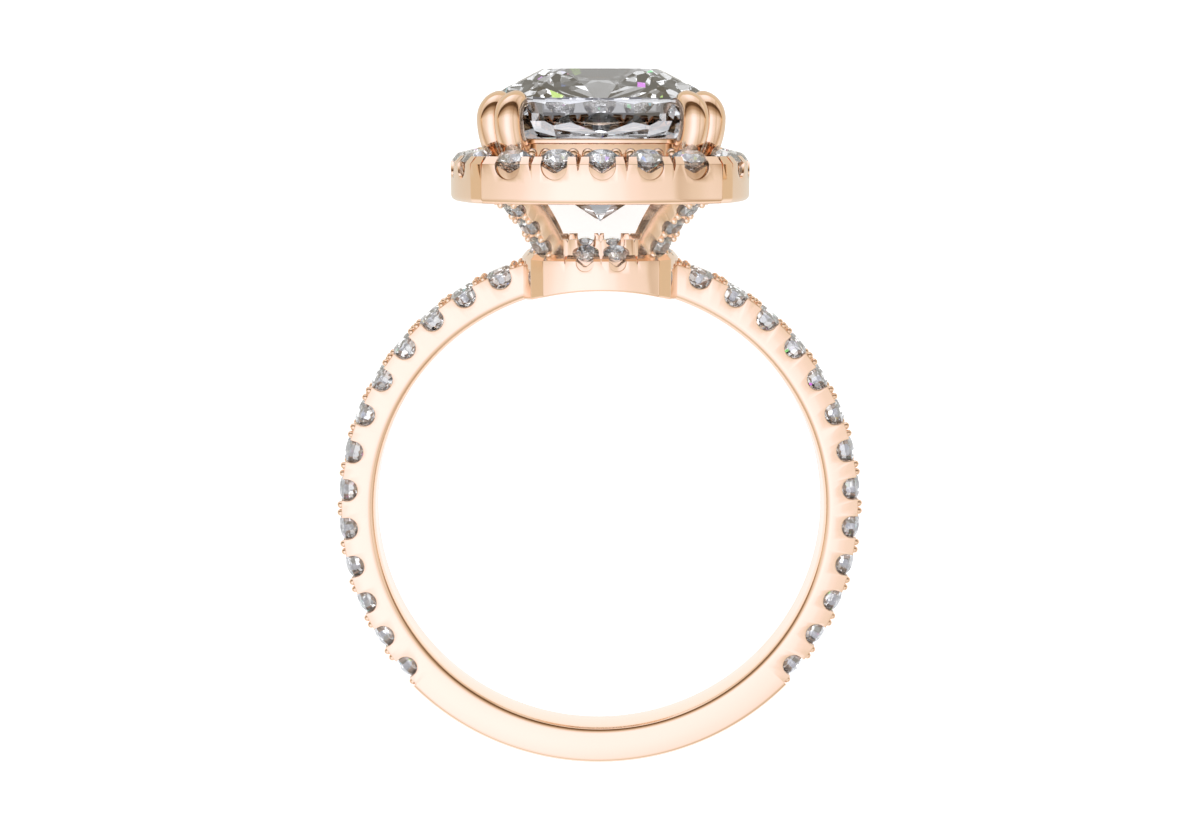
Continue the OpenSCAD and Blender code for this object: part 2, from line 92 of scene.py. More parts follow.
@dataclass(frozen=True)
class RingSizes:
    """Sizes that several sub-assemblies share, in millimetres, in the upright ring's own frame."""

    finger_r: float = 8.5
    shank_w: float = 1.6
    shank_t: float = 1.44
    edge_r: float = 0.2
    halo_u: float = 5.5
    halo_bow: float = 4.1
    halo_corner: float = 6.16
    halo_low: float = 11.71
    halo_top: float = 13.33
    halo_angle: float = 9.90305
    table_u: float = 2.17
    table_z: float = 16.39
    culet_z: float = 10.88
    girdle_z: float = 15.18

    def turn(self) -> float:
        """Angle in radians by which the upright ring is tipped back to lie on the halo and the shank."""
        return math.pi / 2 - math.atan(
            (self.halo_u - self.shank_w / 2) / (self.halo_low + self.finger_r + self.shank_t)
        )

    def lying(self) -> Matrix:
        """Matrix from the upright ring in millimetres to the ring lying on the floor, in metres."""
        turn = self.turn()
        edge_w, edge_h = self.shank_w / 2 - self.edge_r, self.finger_r + self.shank_t - self.edge_r
        floor_z = -edge_w * math.sin(turn) - edge_h * math.cos(turn) - self.edge_r
        back_y = self.table_u * math.cos(turn) + self.table_z * math.sin(turn)
        front_y = -edge_w * math.cos(turn) - edge_h * math.sin(turn) - self.edge_r
        return (
            Matrix.Scale(0.001, 4)
            @ Matrix.Translation((0.0, -(back_y + front_y) / 2, -floor_z))
            @ Matrix.Rotation(-turn, 4, "X")
        )


RING = RingSizes()
LYING = RING.lying()


# Paths that walls are bent along


class Path:
    """A line that a straight strip is bent along. A strip's X runs along it, Y across it and Z away from it.

    Pitch is the distance between two cuts across a strip, in millimetres.
    """

    closed: bool = False
    pitch: float

    def stations(self, start: float, end: float) -> list[float]:
        """Places along the strip where it is cut across, so that it can bend.

        Args:
            start: First end of the strip.
            end: Last end of the strip.

        Returns:
            Distances along the path, in millimetres.
        """
        count = max(2, math.ceil((end - start) / self.pitch))
        return [start + (end - start) * i / count for i in range(1, count)]

    def place(self, along: float, across: float, out: float) -> Vector:
        """Point of the upright ring for a point of the straight strip."""
        raise NotImplementedError


@dataclass
class CushionPath(Path):
    """Outline of a cushion: four bowed sides whose corners are cut at 45 degrees.

    Along runs from the middle of one cut corner round to the same place, across runs inwards and out runs up.
    """

    half: float
    bow: float
    corner: float
    keep_deg: float = 20.0
    crisp: float = 0.03
    pitch: float = 0.28
    closed: bool = True

    def crease(self, inset: float) -> float:
        """Angle from a side's middle to its end, at a distance inwards of the outline, in radians."""
        radius = self.half - inset + self.bow
        cut = (self.corner - inset) * math.sqrt(2.0) + self.bow
        end = math.asin(min(1.0, cut / (radius * math.sqrt(2.0)))) - math.pi / 4
        plain = math.acos(min(1.0, self.bow / (radius * math.sqrt(2.0)))) - math.pi / 4
        return min(end, plain)

    def side_length(self) -> float:
        """Length of one bowed side along the outline."""
        return 2 * self.crease(0.0) * (self.half + self.bow)

    def facet_length(self) -> float:
        """Length of one cut corner along the outline."""
        radius, angle = self.half + self.bow, self.crease(0.0)
        return abs(radius * math.sin(angle) - radius * math.cos(angle) + self.bow) * math.sqrt(2.0)

    def length(self) -> float:
        """Length of the whole outline."""
        return 4 * (self.side_length() + self.facet_length())

    def middle(self, side: int) -> float:
        """Distance along the outline to the middle of a side, 0 being the front one."""
        return (side + 0.5) * (self.side_length() + self.facet_length())

    def at_angle(self, side: int, degrees: float) -> float:
        """Distance along the outline to a place on a side, given in degrees from its middle."""
        return self.middle(side) + math.radians(degrees) * (self.half + self.bow)

    def spots(self, degrees: Iterable[float], sides: Sequence[int] = range(4)) -> list[float]:
        """Distances along the outline to the same angles on several sides."""
        angles = list(degrees)
        return [self.at_angle(side, angle) for side in sides for angle in angles]

    def seat(self, side: int, degrees: float, inset: float, height: float, lean_deg: float) -> Matrix:
        """Where a stone is set, with Z along its axis.

        Args:
            side: The side, 0 being the front one.
            degrees: Angle from the side's middle.
            inset: Distance of the stone's middle inwards of the outline.
            height: Height of its girdle.
            lean_deg: How far it leans outwards.

        Returns:
            The stone's matrix.
        """
        return (
            Matrix.Rotation(math.radians(90.0 * side - 90.0), 4, "Z")
            @ Matrix.Translation((-self.bow, 0, 0))
            @ Matrix.Rotation(math.radians(degrees), 4, "Z")
            @ Matrix.Translation((self.half - inset + self.bow, 0, height))
            @ Matrix.Rotation(math.radians(lean_deg), 4, "Y")
        )

    def stations(self, start: float, end: float) -> list[float]:
        """Cuts across a strip, with one at each crease of the outline."""
        cuts: list[float] = []
        for side in range(4):
            centre, half = self.middle(side), self.side_length() / 2
            count = 2 * math.ceil(half / self.pitch)
            cuts += [centre - half + 2 * half * i / count for i in range(count + 1)]
            cuts += [centre + sign * half + shift for sign in (-1, 1) for shift in (-self.crisp, self.crisp)]
            cuts.append(centre + half + self.facet_length() / 2)
        return sorted(c for c in cuts if start + 1e-4 < c < end - 1e-4)

    def place(self, along: float, across: float, out: float) -> Vector:
        """Point of the upright ring, along the outline, inwards of it and at a height."""
        step = self.side_length() + self.facet_length()
        side = math.floor(along / step)
        rest = along - side * step - step / 2
        radius, crease = self.half - across + self.bow, self.crease(across)
        plain = rest / (self.half + self.bow)
        keep, full = math.radians(self.keep_deg), self.crease(0.0)
        if abs(plain) <= full + 1e-9:
            angle = plain
            if abs(plain) > keep:
                share = (abs(plain) - keep) / max(full - keep, 1e-6)
                angle = math.copysign(keep + share * (crease - keep), plain)
            local = Vector((radius * math.sin(angle), self.bow - radius * math.cos(angle)))
        else:
            share = (abs(rest) - self.side_length() / 2) / max(self.facet_length(), 1e-6)
            end = Vector((radius * math.sin(crease), self.bow - radius * math.cos(crease)))
            turned = Vector((-end.y, -end.x))
            local = end.lerp(turned, share)
            local.x = math.copysign(local.x, rest)
        turn = math.radians(90.0 * side)
        x = local.x * math.cos(turn) - local.y * math.sin(turn)
        y = local.x * math.sin(turn) + local.y * math.cos(turn)
        return Vector((x, y, out))


@dataclass
class ShankPath(Path):
    """Circle of the shank. Along is measured at the finger hole from the head, across along the finger."""

    radius: float
    pitch: float = 0.32

    def at_angle(self, degrees: float) -> float:
        """Distance along the circle for an angle from the head."""
        return math.radians(degrees) * self.radius

    def place(self, along: float, across: float, out: float) -> Vector:
        """Point of the upright ring for a point of the straight strip."""
        angle, radius = along / self.radius, self.radius + out
        return Vector((radius * math.sin(angle), across, radius * math.cos(angle)))


@dataclass
class StrutPath(Path):
    """Arc of a strut in the upright plane through a corner. Out runs out of the face with the stones."""

    corner_deg: float
    centre_d: float = 7.79354
    centre_z: float = 6.97727
    bend: float = 5.6
    middle_deg: float = 136.611
    pitch: float = 0.2

    def place(self, along: float, across: float, out: float) -> Vector:
        """Point of the upright ring for a point of the straight strip."""
        angle = math.radians(self.middle_deg) - along / self.bend
        d = self.centre_d + (self.bend - out) * math.cos(angle)
        z = self.centre_z + (self.bend - out) * math.sin(angle)
        cos, sin = math.cos(math.radians(self.corner_deg)), math.sin(math.radians(self.corner_deg))
        return Vector((d * cos - across * sin, d * sin + across * cos, z))


# Walls with cuts


def split_by(
    bm: Mesh, spot: Sequence[float], normal: Sequence[float], clear: bool, snap: float = SNAP
) -> Ring:
    """Splits a mesh along a plane.

    Args:
        bm: The mesh.
        spot: A point of the plane.
        normal: The plane's normal.
        clear: Whether what lies beyond the plane is taken away.
        snap: Distance within which a corner counts as lying on the plane.

    Returns:
        The edges in the plane.
    """
    cut = bmesh.ops.bisect_plane(
        bm, geom=bm.verts[:] + bm.edges[:] + bm.faces[:], dist=snap, plane_co=spot, plane_no=normal,
        clear_outer=clear,
    )["geom_cut"]
    return [g for g in cut if isinstance(g, bmesh.types.BMEdge)]


class Pen:
    """Draws a closed outline in the XZ plane of a bmesh, one edge or arc after another."""

    def __init__(self, bm: Mesh, x: float, z: float, y: float) -> None:
        """Puts the pen down.

        Args:
            bm: The mesh that is drawn in.
            x: First point's X.
            z: First point's Z.
            y: Y of the whole outline.
        """
        self.bm, self.y = bm, y
        self.first = self.tip = bmesh.ops.create_vert(bm, co=(x, y, z))["vert"][0]

    def line(self, x: float, z: float) -> None:
        """Draws a straight edge to a point, unless the pen is there already."""
        if (self.tip.co - Vector((x, self.y, z))).length < 1e-6:
            return
        self.tip = bmesh.ops.extrude_vert_indiv(self.bm, verts=[self.tip])["verts"][0]
        self.tip.co = (x, self.y, z)

    def arc(self, x: float, z: float, angle: float, steps: int) -> None:
        """Draws an arc about a point, turning from +X towards -Z."""
        last = bmesh.ops.spin(
            self.bm, geom=[self.tip], cent=(x, self.y, z), axis=(0, 1, 0), angle=angle, steps=steps,
            use_merge=False, use_duplicate=False,
        )["geom_last"]
        self.tip = next(g for g in last if isinstance(g, bmesh.types.BMVert))

    def close(self) -> bmesh.types.BMFace:
        """Joins the outline's ends and fills it.

        Returns:
            The face inside the outline.
        """
        bmesh.ops.contextual_create(self.bm, geom=[self.tip, self.first])
        face = bmesh.ops.contextual_create(self.bm, geom=self.bm.edges[:])["faces"]
        return face[0]


@dataclass(frozen=True)
class Cut:
    """An opening in the top edge of a wall."""

    at: float
    half: float
    floor: float
    shape: CutShape = CutShape.ROUND
    vee_flat: float = 0.12
    arc_steps: int = 14

    def draw(self, pen: Pen, top: float) -> None:
        """Draws the opening from its right end to its left one.

        Args:
            pen: The pen, somewhere to the right on the wall's top edge.
            top: Height of that edge.
        """
        if self.floor >= top:
            return
        if self.shape is CutShape.VEE:
            pen.line(self.at + self.half, top)
            pen.line(self.at + self.half * self.vee_flat, self.floor)
            pen.line(self.at - self.half * self.vee_flat, self.floor)
            pen.line(self.at - self.half, top)
            return
        centre = self.floor + self.half
        lift = max(0.0, centre - top)
        start = math.asin(min(1.0, lift / self.half))
        pen.line(self.at + self.half * math.cos(start), top)
        pen.line(self.at + self.half * math.cos(start), centre - lift)
        pen.arc(self.at, centre, math.pi - 2 * start, self.arc_steps)
        pen.line(self.at - self.half * math.cos(start), top)


def cuts_at(
    spots: Iterable[float], half: float, floor: float, shape: CutShape = CutShape.ROUND
) -> list[Cut]:
    """Equal openings of a wall's top edge, at several places along it."""
    return [Cut(spot, half, floor, shape) for spot in spots]


@dataclass
class Wall:
    """A strip with openings in its top edge, made straight, rounded, cut across and bent along a path."""

    start: float
    end: float
    low: float
    top: float
    near: float
    far: float
    cuts: Sequence[Cut] = ()
    rim: float = 0.04
    foot: float = 0.0
    foot_far: float = 0.0
    rim_steps: int = 2
    slope_run: float = 0.0
    slope_drop: float = 0.0
    level: float = 0.0

    def straight(self) -> Mesh:
        """Builds the straight strip with its rims rounded.

        Returns:
            The strip as a closed mesh.
        """
        bm = bmesh.new()
        pen = Pen(bm, self.start, self.low, self.near)
        pen.line(self.end, self.low)
        pen.line(self.end, self.top)
        for cut in sorted(self.cuts, key=lambda c: -c.at):
            cut.draw(pen, self.top)
        pen.line(self.start, self.top)
        face = pen.close()
        made = bmesh.ops.extrude_face_region(bm, geom=[face], use_keep_orig=True)["geom"]
        verts = [g for g in made if isinstance(g, bmesh.types.BMVert)]
        bmesh.ops.translate(bm, verts=verts, vec=(0.0, self.far - self.near, 0.0))
        bmesh.ops.recalc_face_normals(bm, faces=bm.faces[:])
        if self.slope_run:
            self._slope(bm)
        self._round(bm, self.near, self.foot)
        self._round(bm, self.far, self.foot_far)
        return bm

    def _slope(self, bm: Mesh) -> None:
        """Grinds the near edge of the strip's top to a slope."""
        spot, normal = (0.0, self.near, self.top - self.slope_drop), (0.0, -self.slope_drop, self.slope_run)
        bmesh.ops.holes_fill(bm, edges=split_by(bm, spot, normal, clear=True), sides=0)
        bmesh.ops.recalc_face_normals(bm, faces=bm.faces[:])

    def _round(self, bm: Mesh, y: float, foot: float) -> None:
        """Rounds the rims of the strip's face at one depth, and its lower edge by another amount."""
        rims: Ring = []
        feet: Ring = []
        for edge in bm.edges:
            a, b = edge.verts[0].co, edge.verts[1].co
            if abs(a.y - y) > SNAP or abs(b.y - y) > SNAP:
                continue
            if abs(a.x - b.x) < 1e-6 and min(abs(a.x - self.start), abs(a.x - self.end)) < SNAP:
                continue
            if max(a.z, b.z) < self.low + SNAP:
                feet.append(edge)
            else:
                rims.append(edge)
        for edges, offset, steps in ((feet, foot, 5), (rims, self.rim, self.rim_steps)):
            if edges and offset > 0:
                bmesh.ops.bevel(
                    bm, geom=edges, offset=offset, offset_type="OFFSET", segments=steps, profile=0.5,
                    affect="EDGES", clamp_overlap=True, material=-1, loop_slide=True,
                )

    def along(self, path: Path) -> Mesh:
        """Bends the strip along a path.

        Args:
            path: The path, which closes on itself or not.

        Returns:
            The bent strip as a closed mesh.
        """
        bm = self.straight()
        planes = [((x, 0, 0), (1, 0, 0)) for x in path.stations(self.start, self.end)]
        if self.level:
            planes.append(((0, 0, self.level), (0, 0, 1)))
        for spot, normal in planes:
            split_by(bm, spot, normal, clear=False)
        if path.closed:
            caps = [
                f for f in bm.faces
                if all(abs(v.co.x - self.start) < SNAP for v in f.verts)
                or all(abs(v.co.x - self.end) < SNAP for v in f.verts)
            ]
            bmesh.ops.delete(bm, geom=caps, context="FACES_ONLY")
        for vert in bm.verts:
            vert.co = path.place(vert.co.x, vert.co.y, vert.co.z)
        bmesh.ops.remove_doubles(bm, verts=bm.verts[:], dist=1e-4)
        bmesh.ops.recalc_face_normals(bm, faces=bm.faces[:])
        return bm


def merged(parts: Iterable[Mesh]) -> Mesh:
    """Puts several meshes into one, and frees them.

    Args:
        parts: The meshes.

    Returns:
        One mesh that holds them all.
    """
    whole = bmesh.new()
    for part in parts:
        mesh = bpy.data.meshes.new("part")
        part.to_mesh(mesh)
        part.free()
        whole.from_mesh(mesh)
        bpy.data.meshes.remove(mesh)
    return whole


def copy_of(mesh: Mesh, matrix: Matrix) -> Mesh:
    """A copy of a mesh, placed by a matrix.

    Args:
        mesh: The mesh, which stays as it is.
        matrix: Where the copy goes.

    Returns:
        The copy.
    """
    made = mesh.copy()
    bmesh.ops.transform(made, matrix=matrix, verts=made.verts[:])
    return made


def standing(foot: Vector, tip: Vector) -> Matrix:
    """Matrix that stands something up at a point, its Z axis towards another point."""
    return Matrix.Translation(foot) @ (tip - foot).to_track_quat("Z", "Y").to_matrix().to_4x4()


def post(radius: float, height: float, foot: Vector, tip: Vector) -> Mesh:
    """A round prong with a domed top.

    Args:
        radius: Its radius.
        height: Its height from the foot to the top of the dome.
        foot: Where it stands.
        tip: A point that it leans towards.

    Returns:
        The prong as a closed mesh.
    """
    bm = bmesh.new()
    bmesh.ops.create_uvsphere(bm, u_segments=16, v_segments=10, radius=radius)
    bmesh.ops.translate(bm, verts=[v for v in bm.verts if v.co.z > -1e-6], vec=(0, 0, height - radius))
    bmesh.ops.transform(bm, matrix=standing(foot, tip), verts=bm.verts[:])
    return bm


# Finishes


@dataclass(frozen=True)
class Graph:
    """Adds nodes to a node tree, already linked."""

    tree: bpy.types.NodeTree

    def add(self, kind: str, inputs: Inputs | None = None, **settings: object) -> bpy.types.Node:
        """Adds a node.

        Args:
            kind: Type of the node.
            inputs: A socket to link from, or a plain value, for inputs given by name or number.
            settings: The node's own settings.

        Returns:
            The node.
        """
        node = self.tree.nodes.new(kind)
        for name, value in settings.items():
            setattr(node, name, value)
        self.feed(node, inputs or {})
        return node

    def feed(self, node: bpy.types.Node, inputs: Inputs) -> None:
        """Links a node's inputs or gives them plain values."""
        for name, value in inputs.items():
            if isinstance(value, Socket):
                self.tree.links.new(value, node.inputs[name])
            else:
                node.inputs[name].default_value = value

    def maths(self, kind: str, *values: Socket | float) -> Socket:
        """Result of a maths node on sockets or plain numbers."""
        return self.add("ShaderNodeMath", dict(enumerate(values)), operation=kind).outputs[0]

    def blend(self, factor: Socket, a: Socket | Colour, b: Socket | Colour) -> Socket:
        """Mix of two colours, the second one where the factor is 1."""
        inputs = {"Factor": factor}
        for name, value in (("A", a), ("B", b)):
            inputs[name] = value if isinstance(value, Socket) else (*value, 1.0)
        return self.add("ShaderNodeMix", inputs, data_type="RGBA").outputs["Result"]

    def spread(self, value: Socket, span: tuple[float, float]) -> Socket:
        """A value's place in a span, as a share from 0 to 1."""
        inputs = {"Value": value, "From Min": span[0], "From Max": span[1]}
        return self.add("ShaderNodeMapRange", inputs).outputs["Result"]

    def ramp(self, value: Socket, stops: Iterable[tuple[float, Colour]], kind: str = "LINEAR") -> Socket:
        """Colour for a value.

        Args:
            value: The value, from 0 to 1.
            stops: Places from 0 to 1 and their colours.
            kind: Interpolation between the stops.

        Returns:
            The colour.
        """
        node = self.add("ShaderNodeValToRGB", {"Fac": value})
        node.color_ramp.interpolation = kind
        elements, placed = node.color_ramp.elements, list(stops)
        while len(elements) < len(placed):
            elements.new(0.5)
        for element, (place, colour) in zip(elements, placed):
            element.position = place
            element.color = (*colour, 1.0)
        return node.outputs["Color"]


def new_material(name: str) -> tuple[bpy.types.Material, Graph, bpy.types.Node]:
    """A material with one shader.

    Args:
        name: The material's name.

    Returns:
        The material, its graph and its shader.
    """
    mat = bpy.data.materials.new(name)
    mat.use_nodes = True
    mat.node_tree.nodes.clear()
    graph = Graph(mat.node_tree)
    shader = graph.add("ShaderNodeBsdfPrincipled")
    graph.add("ShaderNodeOutputMaterial", {"Surface": shader.outputs[0]})
    return mat, graph, shader


def polish_group() -> bpy.types.ShaderNodeTree:
    """Node group of a hand-polished metal: faint colour drift, polishing haze and hairlines.

    Returns:
        The group, with inputs Scale, Haze and Base and outputs Tint, Roughness and Height.
    """
    name = "hand_polish"
    if name in bpy.data.node_groups:
        return bpy.data.node_groups[name]
    tree = bpy.data.node_groups.new(name, "ShaderNodeTree")
    for label, value in (("Scale", 1.0), ("Haze", 0.05), ("Base", 0.08)):
        tree.interface.new_socket(label, in_out="INPUT", socket_type="NodeSocketFloat").default_value = value
    for label in ("Tint", "Roughness", "Height"):
        tree.interface.new_socket(label, in_out="OUTPUT", socket_type="NodeSocketFloat")
    graph = Graph(tree)
    given = graph.add("NodeGroupInput").outputs
    where = graph.add("ShaderNodeTexCoord").outputs["Object"]
    inputs = {0: where, "Scale": given["Scale"]}
    size = graph.add("ShaderNodeVectorMath", inputs, operation="SCALE").outputs[0]
    combed = graph.add(
        "ShaderNodeMapping", {"Vector": size, "Scale": (1.0, 0.12, 1.0), "Rotation": (0.3, 0.2, 0.9)}
    ).outputs[0]

    def noise(place: Socket, scale: float, detail: float) -> Socket:
        """Value of a noise texture."""
        inputs = {"Vector": place, "Scale": scale, "Detail": detail}
        return graph.add("ShaderNodeTexNoise", inputs).outputs["Fac"]

    graph.add("NodeGroupOutput", {
        "Tint": noise(size, scale=260.0, detail=2.0),
        "Roughness": graph.maths(
            "MULTIPLY_ADD", noise(size, scale=900.0, detail=4.0), given["Haze"], given["Base"]
        ),
        "Height": noise(combed, scale=9000.0, detail=1.0),
    })
    return tree


@dataclass(frozen=True)
class Finish:
    """A finish, made into a material once."""

    name: str

    def build(self) -> bpy.types.Material:
        """Makes the material.

        Returns:
            The material, or the one made before under this name.
        """
        if self.name in bpy.data.materials:
            return bpy.data.materials[self.name]
        mat, graph, shader = new_material(self.name)
        mat.diffuse_color = self.shade(graph, shader)
        return mat

    def shade(self, graph: Graph, shader: bpy.types.Node) -> tuple[float, ...]:
        """Feeds the shader.

        Args:
            graph: The material's graph.
            shader: Its shader.

        Returns:
            Colour and opacity of the material in a plain view.
        """
        raise NotImplementedError


@dataclass(frozen=True)
class GoldFinish(Finish):
    """Rose gold. Haze and hairlines are those of a hand-buffed casting."""

    light: Colour = (0.955, 0.72, 0.555)
    deep: Colour = (0.94, 0.7, 0.53)
    roughness: float = 0.07
    haze: float = 0.05
    hairline: float = 0.05
    hair_depth: float = 0.000002

    def shade(self, graph: Graph, shader: bpy.types.Node) -> tuple[float, ...]:
        """Feeds the shader, and returns the plain colour."""
        inputs = {"Haze": self.haze, "Base": self.roughness}
        polish = graph.add("ShaderNodeGroup", inputs, node_tree=polish_group()).outputs
        hairs = {"Strength": self.hairline, "Distance": self.hair_depth, "Height": polish["Height"]}
        bump = graph.add("ShaderNodeBump", hairs)
        graph.feed(shader, {
            "Metallic": 1.0,
            "Base Color": graph.blend(polish["Tint"], self.light, self.deep),
            "Roughness": polish["Roughness"],
            "Normal": bump.outputs["Normal"],
        })
        return (*self.light, 1.0)


@dataclass(frozen=True)
class GemFinish(Finish):
    """A clear, colourless cut stone."""

    ior: float = 2.42
    mirror: float = 0.0
    clear: float = 1.0
    gleam: float = 0.5
    tint: Colour = (0.985, 0.99, 1.0)
    drift: float = 0.012
    drift_scale: float = 400.0

    def shade(self, graph: Graph, shader: bpy.types.Node) -> tuple[float, ...]:
        """Feeds the shader, and returns the plain colour."""
        where = graph.add("ShaderNodeTexCoord").outputs["Object"]
        noise = graph.add("ShaderNodeTexNoise", {"Vector": where, "Scale": self.drift_scale}).outputs["Fac"]
        paler = tuple(min(1.0, share + self.drift) for share in self.tint)
        graph.feed(shader, {
            "IOR": self.ior,
            "Roughness": 0.0,
            "Transmission Weight": self.clear,
            "Metallic": self.mirror,
            "Specular IOR Level": self.gleam,
            "Base Color": graph.blend(noise, self.tint, paler),
        })
        return (0.9, 0.93, 0.97, 0.5)


GOLD = GoldFinish("rose_gold_polish")
# The struts' gold is satin, and its colour, lighter than the rest of the gold, is painted light that
# brightens the struts.
GOLD_STRUT = GoldFinish(
    "rose_gold_satin_painted_lighter", light=(1.0, 0.8, 0.65), deep=(0.98, 0.78, 0.61), roughness=0.2, haze=0.06,
    hairline=0.08,
)
CENTRE_GEM = GemFinish("centre_gem", gleam=0.25, tint=(0.89, 0.9, 0.93))
SMALL_GEM = GemFinish("melee_gem", mirror=0.06, clear=0.88)


# Pieces


def piece(
    bm: Mesh,
    name: str,
    finish: Finish,
    slot: Slot,
    replaces: Sequence[str],
    smooth_deg: float = 0.0,
) -> bpy.types.Object:
    """Turns an upright mesh into a finished piece of the lying ring.

    Args:
        bm: The mesh in millimetres, in the upright ring's frame. It is freed.
        name: The piece's name.
        finish: Its finish.
        slot: The record's slot that it stands for; only whether it is metal is used, to hide it from rays
            inside the stones.
        replaces: Nodes of the fixed frame that it stands for.
        smooth_deg: Edges under this angle are shaded smooth, or none if 0.

    Returns:
        The new object. Metal is hidden from rays inside the stones, which keeps them colourless.
    """
    bmesh.ops.transform(bm, matrix=LYING, verts=bm.verts[:])
    mesh = bpy.data.meshes.new(name)
    bm.to_mesh(mesh)
    bm.free()
    obj = bpy.data.objects.new(name, mesh)
    bpy.context.scene.collection.objects.link(obj)
    mesh.materials.append(finish.build())
    if smooth_deg > 0:
        mesh.shade_smooth()
        mesh.set_sharp_from_angle(angle=math.radians(smooth_deg))
        weighted = obj.modifiers.new("weighted", "WEIGHTED_NORMAL")
        weighted.keep_sharp = True
        weighted.weight = 80
    obj.visible_transmission = slot is not Slot.METAL
    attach(obj, BODY)
    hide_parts(*replaces)
    LOG.info("%s: %d faces", name, len(mesh.polygons))
    return obj


def metal_piece(
    parts: Iterable[Mesh], name: str, finish: Finish = GOLD, smooth_deg: float = 42.0
) -> bpy.types.Object:
    """Makes a piece of the mounting.

    Args:
        parts: Its meshes, which are freed.
        name: Its name.
        finish: Its finish.
        smooth_deg: Edges under this angle are shaded smooth.

    Returns:
        The new object.
    """
    return piece(merged(parts), name, finish, Slot.METAL, ["mounting"], smooth_deg)


# Cut stones


@dataclass(frozen=True)
class FacetRow:
    """A row of equal facets spaced evenly round a stone, angles in degrees.

    Each facet's plane passes through a share of the outline's reach, at a height.
    """

    count: int
    slope: float
    share: float
    height: float
    first: float = 0.0
    upwards: bool = True


@dataclass
class CutStone:
    """A faceted stone, cut out of a block one plane at a time, girdle at height 0 and table up."""

    half: float
    table: float
    rows: Sequence[FacetRow]
    squareness: float = 2.0
    sides: int = 32

    def support(self, azimuth: float) -> float:
        """Distance from the stone's axis to its outline's tangent across an azimuth given in degrees."""
        a = math.radians(azimuth)
        if self.squareness == 2.0:
            return self.half
        q = self.squareness / (self.squareness - 1.0)
        return self.half * (abs(math.cos(a)) ** q + abs(math.sin(a)) ** q) ** (1.0 / q)

    def build(self) -> Mesh:
        """Cuts the stone.

        Returns:
            A closed mesh of flat facets.
        """
        bm = bmesh.new()
        bmesh.ops.create_cube(bm, size=4.0 * self.half + 4.0)
        self._slice(bm, Vector((0, 0, 1)), self.table)
        girdle = FacetRow(self.sides, 90.0, 1.0, 0.0, 180.0 / self.sides)
        for row in (girdle, *self.rows):
            slope = math.radians(row.slope)
            up = math.cos(slope) if row.upwards else -math.cos(slope)
            for i in range(row.count):
                azimuth = row.first + 360.0 * i / row.count
                a = math.radians(azimuth)
                normal = Vector((math.cos(a) * math.sin(slope), math.sin(a) * math.sin(slope), up))
                reach = self.support(azimuth) * row.share * math.sin(slope) + row.height * up
                self._slice(bm, normal, reach)
        bmesh.ops.recalc_face_normals(bm, faces=bm.faces[:])
        return bm

    @staticmethod
    def _slice(bm: Mesh, normal: Vector, reach: float) -> None:
        """Grinds away what lies beyond a plane, and closes the new facet."""
        edges = [edge for edge in split_by(bm, normal * reach, normal, True, 1e-6) if edge.is_boundary]
        if len(edges) > 2:
            bmesh.ops.contextual_create(bm, geom=edges)


def round_brilliant(diameter: float) -> CutStone:
    """A round brilliant with table, mains, stars and halves, and a plain pavilion.

    Args:
        diameter: Girdle diameter in millimetres.

    Returns:
        The stone, not yet built.
    """
    radius, crown, depth, table = diameter / 2, 0.16 * diameter, 0.43 * diameter, 0.56
    main = math.degrees(math.atan(crown / (radius * (1 - table))))
    deep = math.degrees(math.atan(depth / radius))
    rows = (
        FacetRow(8, main, 1.0, 0.0),
        FacetRow(8, main * 0.62, table * 0.985, crown, 22.5),
        FacetRow(16, main + 6.0, 1.0, 0.0, 11.25),
        FacetRow(8, deep, 0.0, -depth, 0.0, False),
        FacetRow(16, deep + 3.0, 1.0, -0.02 * diameter, 11.25, False),
    )
    return CutStone(radius, crown, rows)


def deep_brilliant(diameter: float) -> CutStone:
    """A round stone with a full, stepped pavilion, which fills the round cut it is seen through.

    Args:
        diameter: Girdle diameter in millimetres.

    Returns:
        The stone, not yet built.
    """
    stone = round_brilliant(diameter)
    crown = [row for row in stone.rows if row.upwards]
    belly = [
        FacetRow(16, 80.0, 1.0, -0.02 * diameter, 0.0, False),
        FacetRow(16, 58.0, 0.9, -0.29 * diameter, 11.25, False),
        FacetRow(8, 12.0, 0.76, -0.42 * diameter, 0.0, False),
    ]
    stone.rows = crown + belly
    return stone


def set_stones(stone: CutStone, places: Iterable[Matrix]) -> Mesh:
    """Sets a copy of a stone at each place, each turned further about its own axis.

    Args:
        stone: The stone.
        places: Matrices whose Z axis is the stone's axis and whose origin is its girdle's centre.

    Returns:
        One mesh that holds them all.
    """
    master = stone.build()
    made = [
        copy_of(master, place @ Matrix.Rotation(math.radians(STONE_TURN_DEG * i), 4, "Z"))
        for i, place in enumerate(places)
    ]
    master.free()
    return merged(made)


# Sub-assemblies


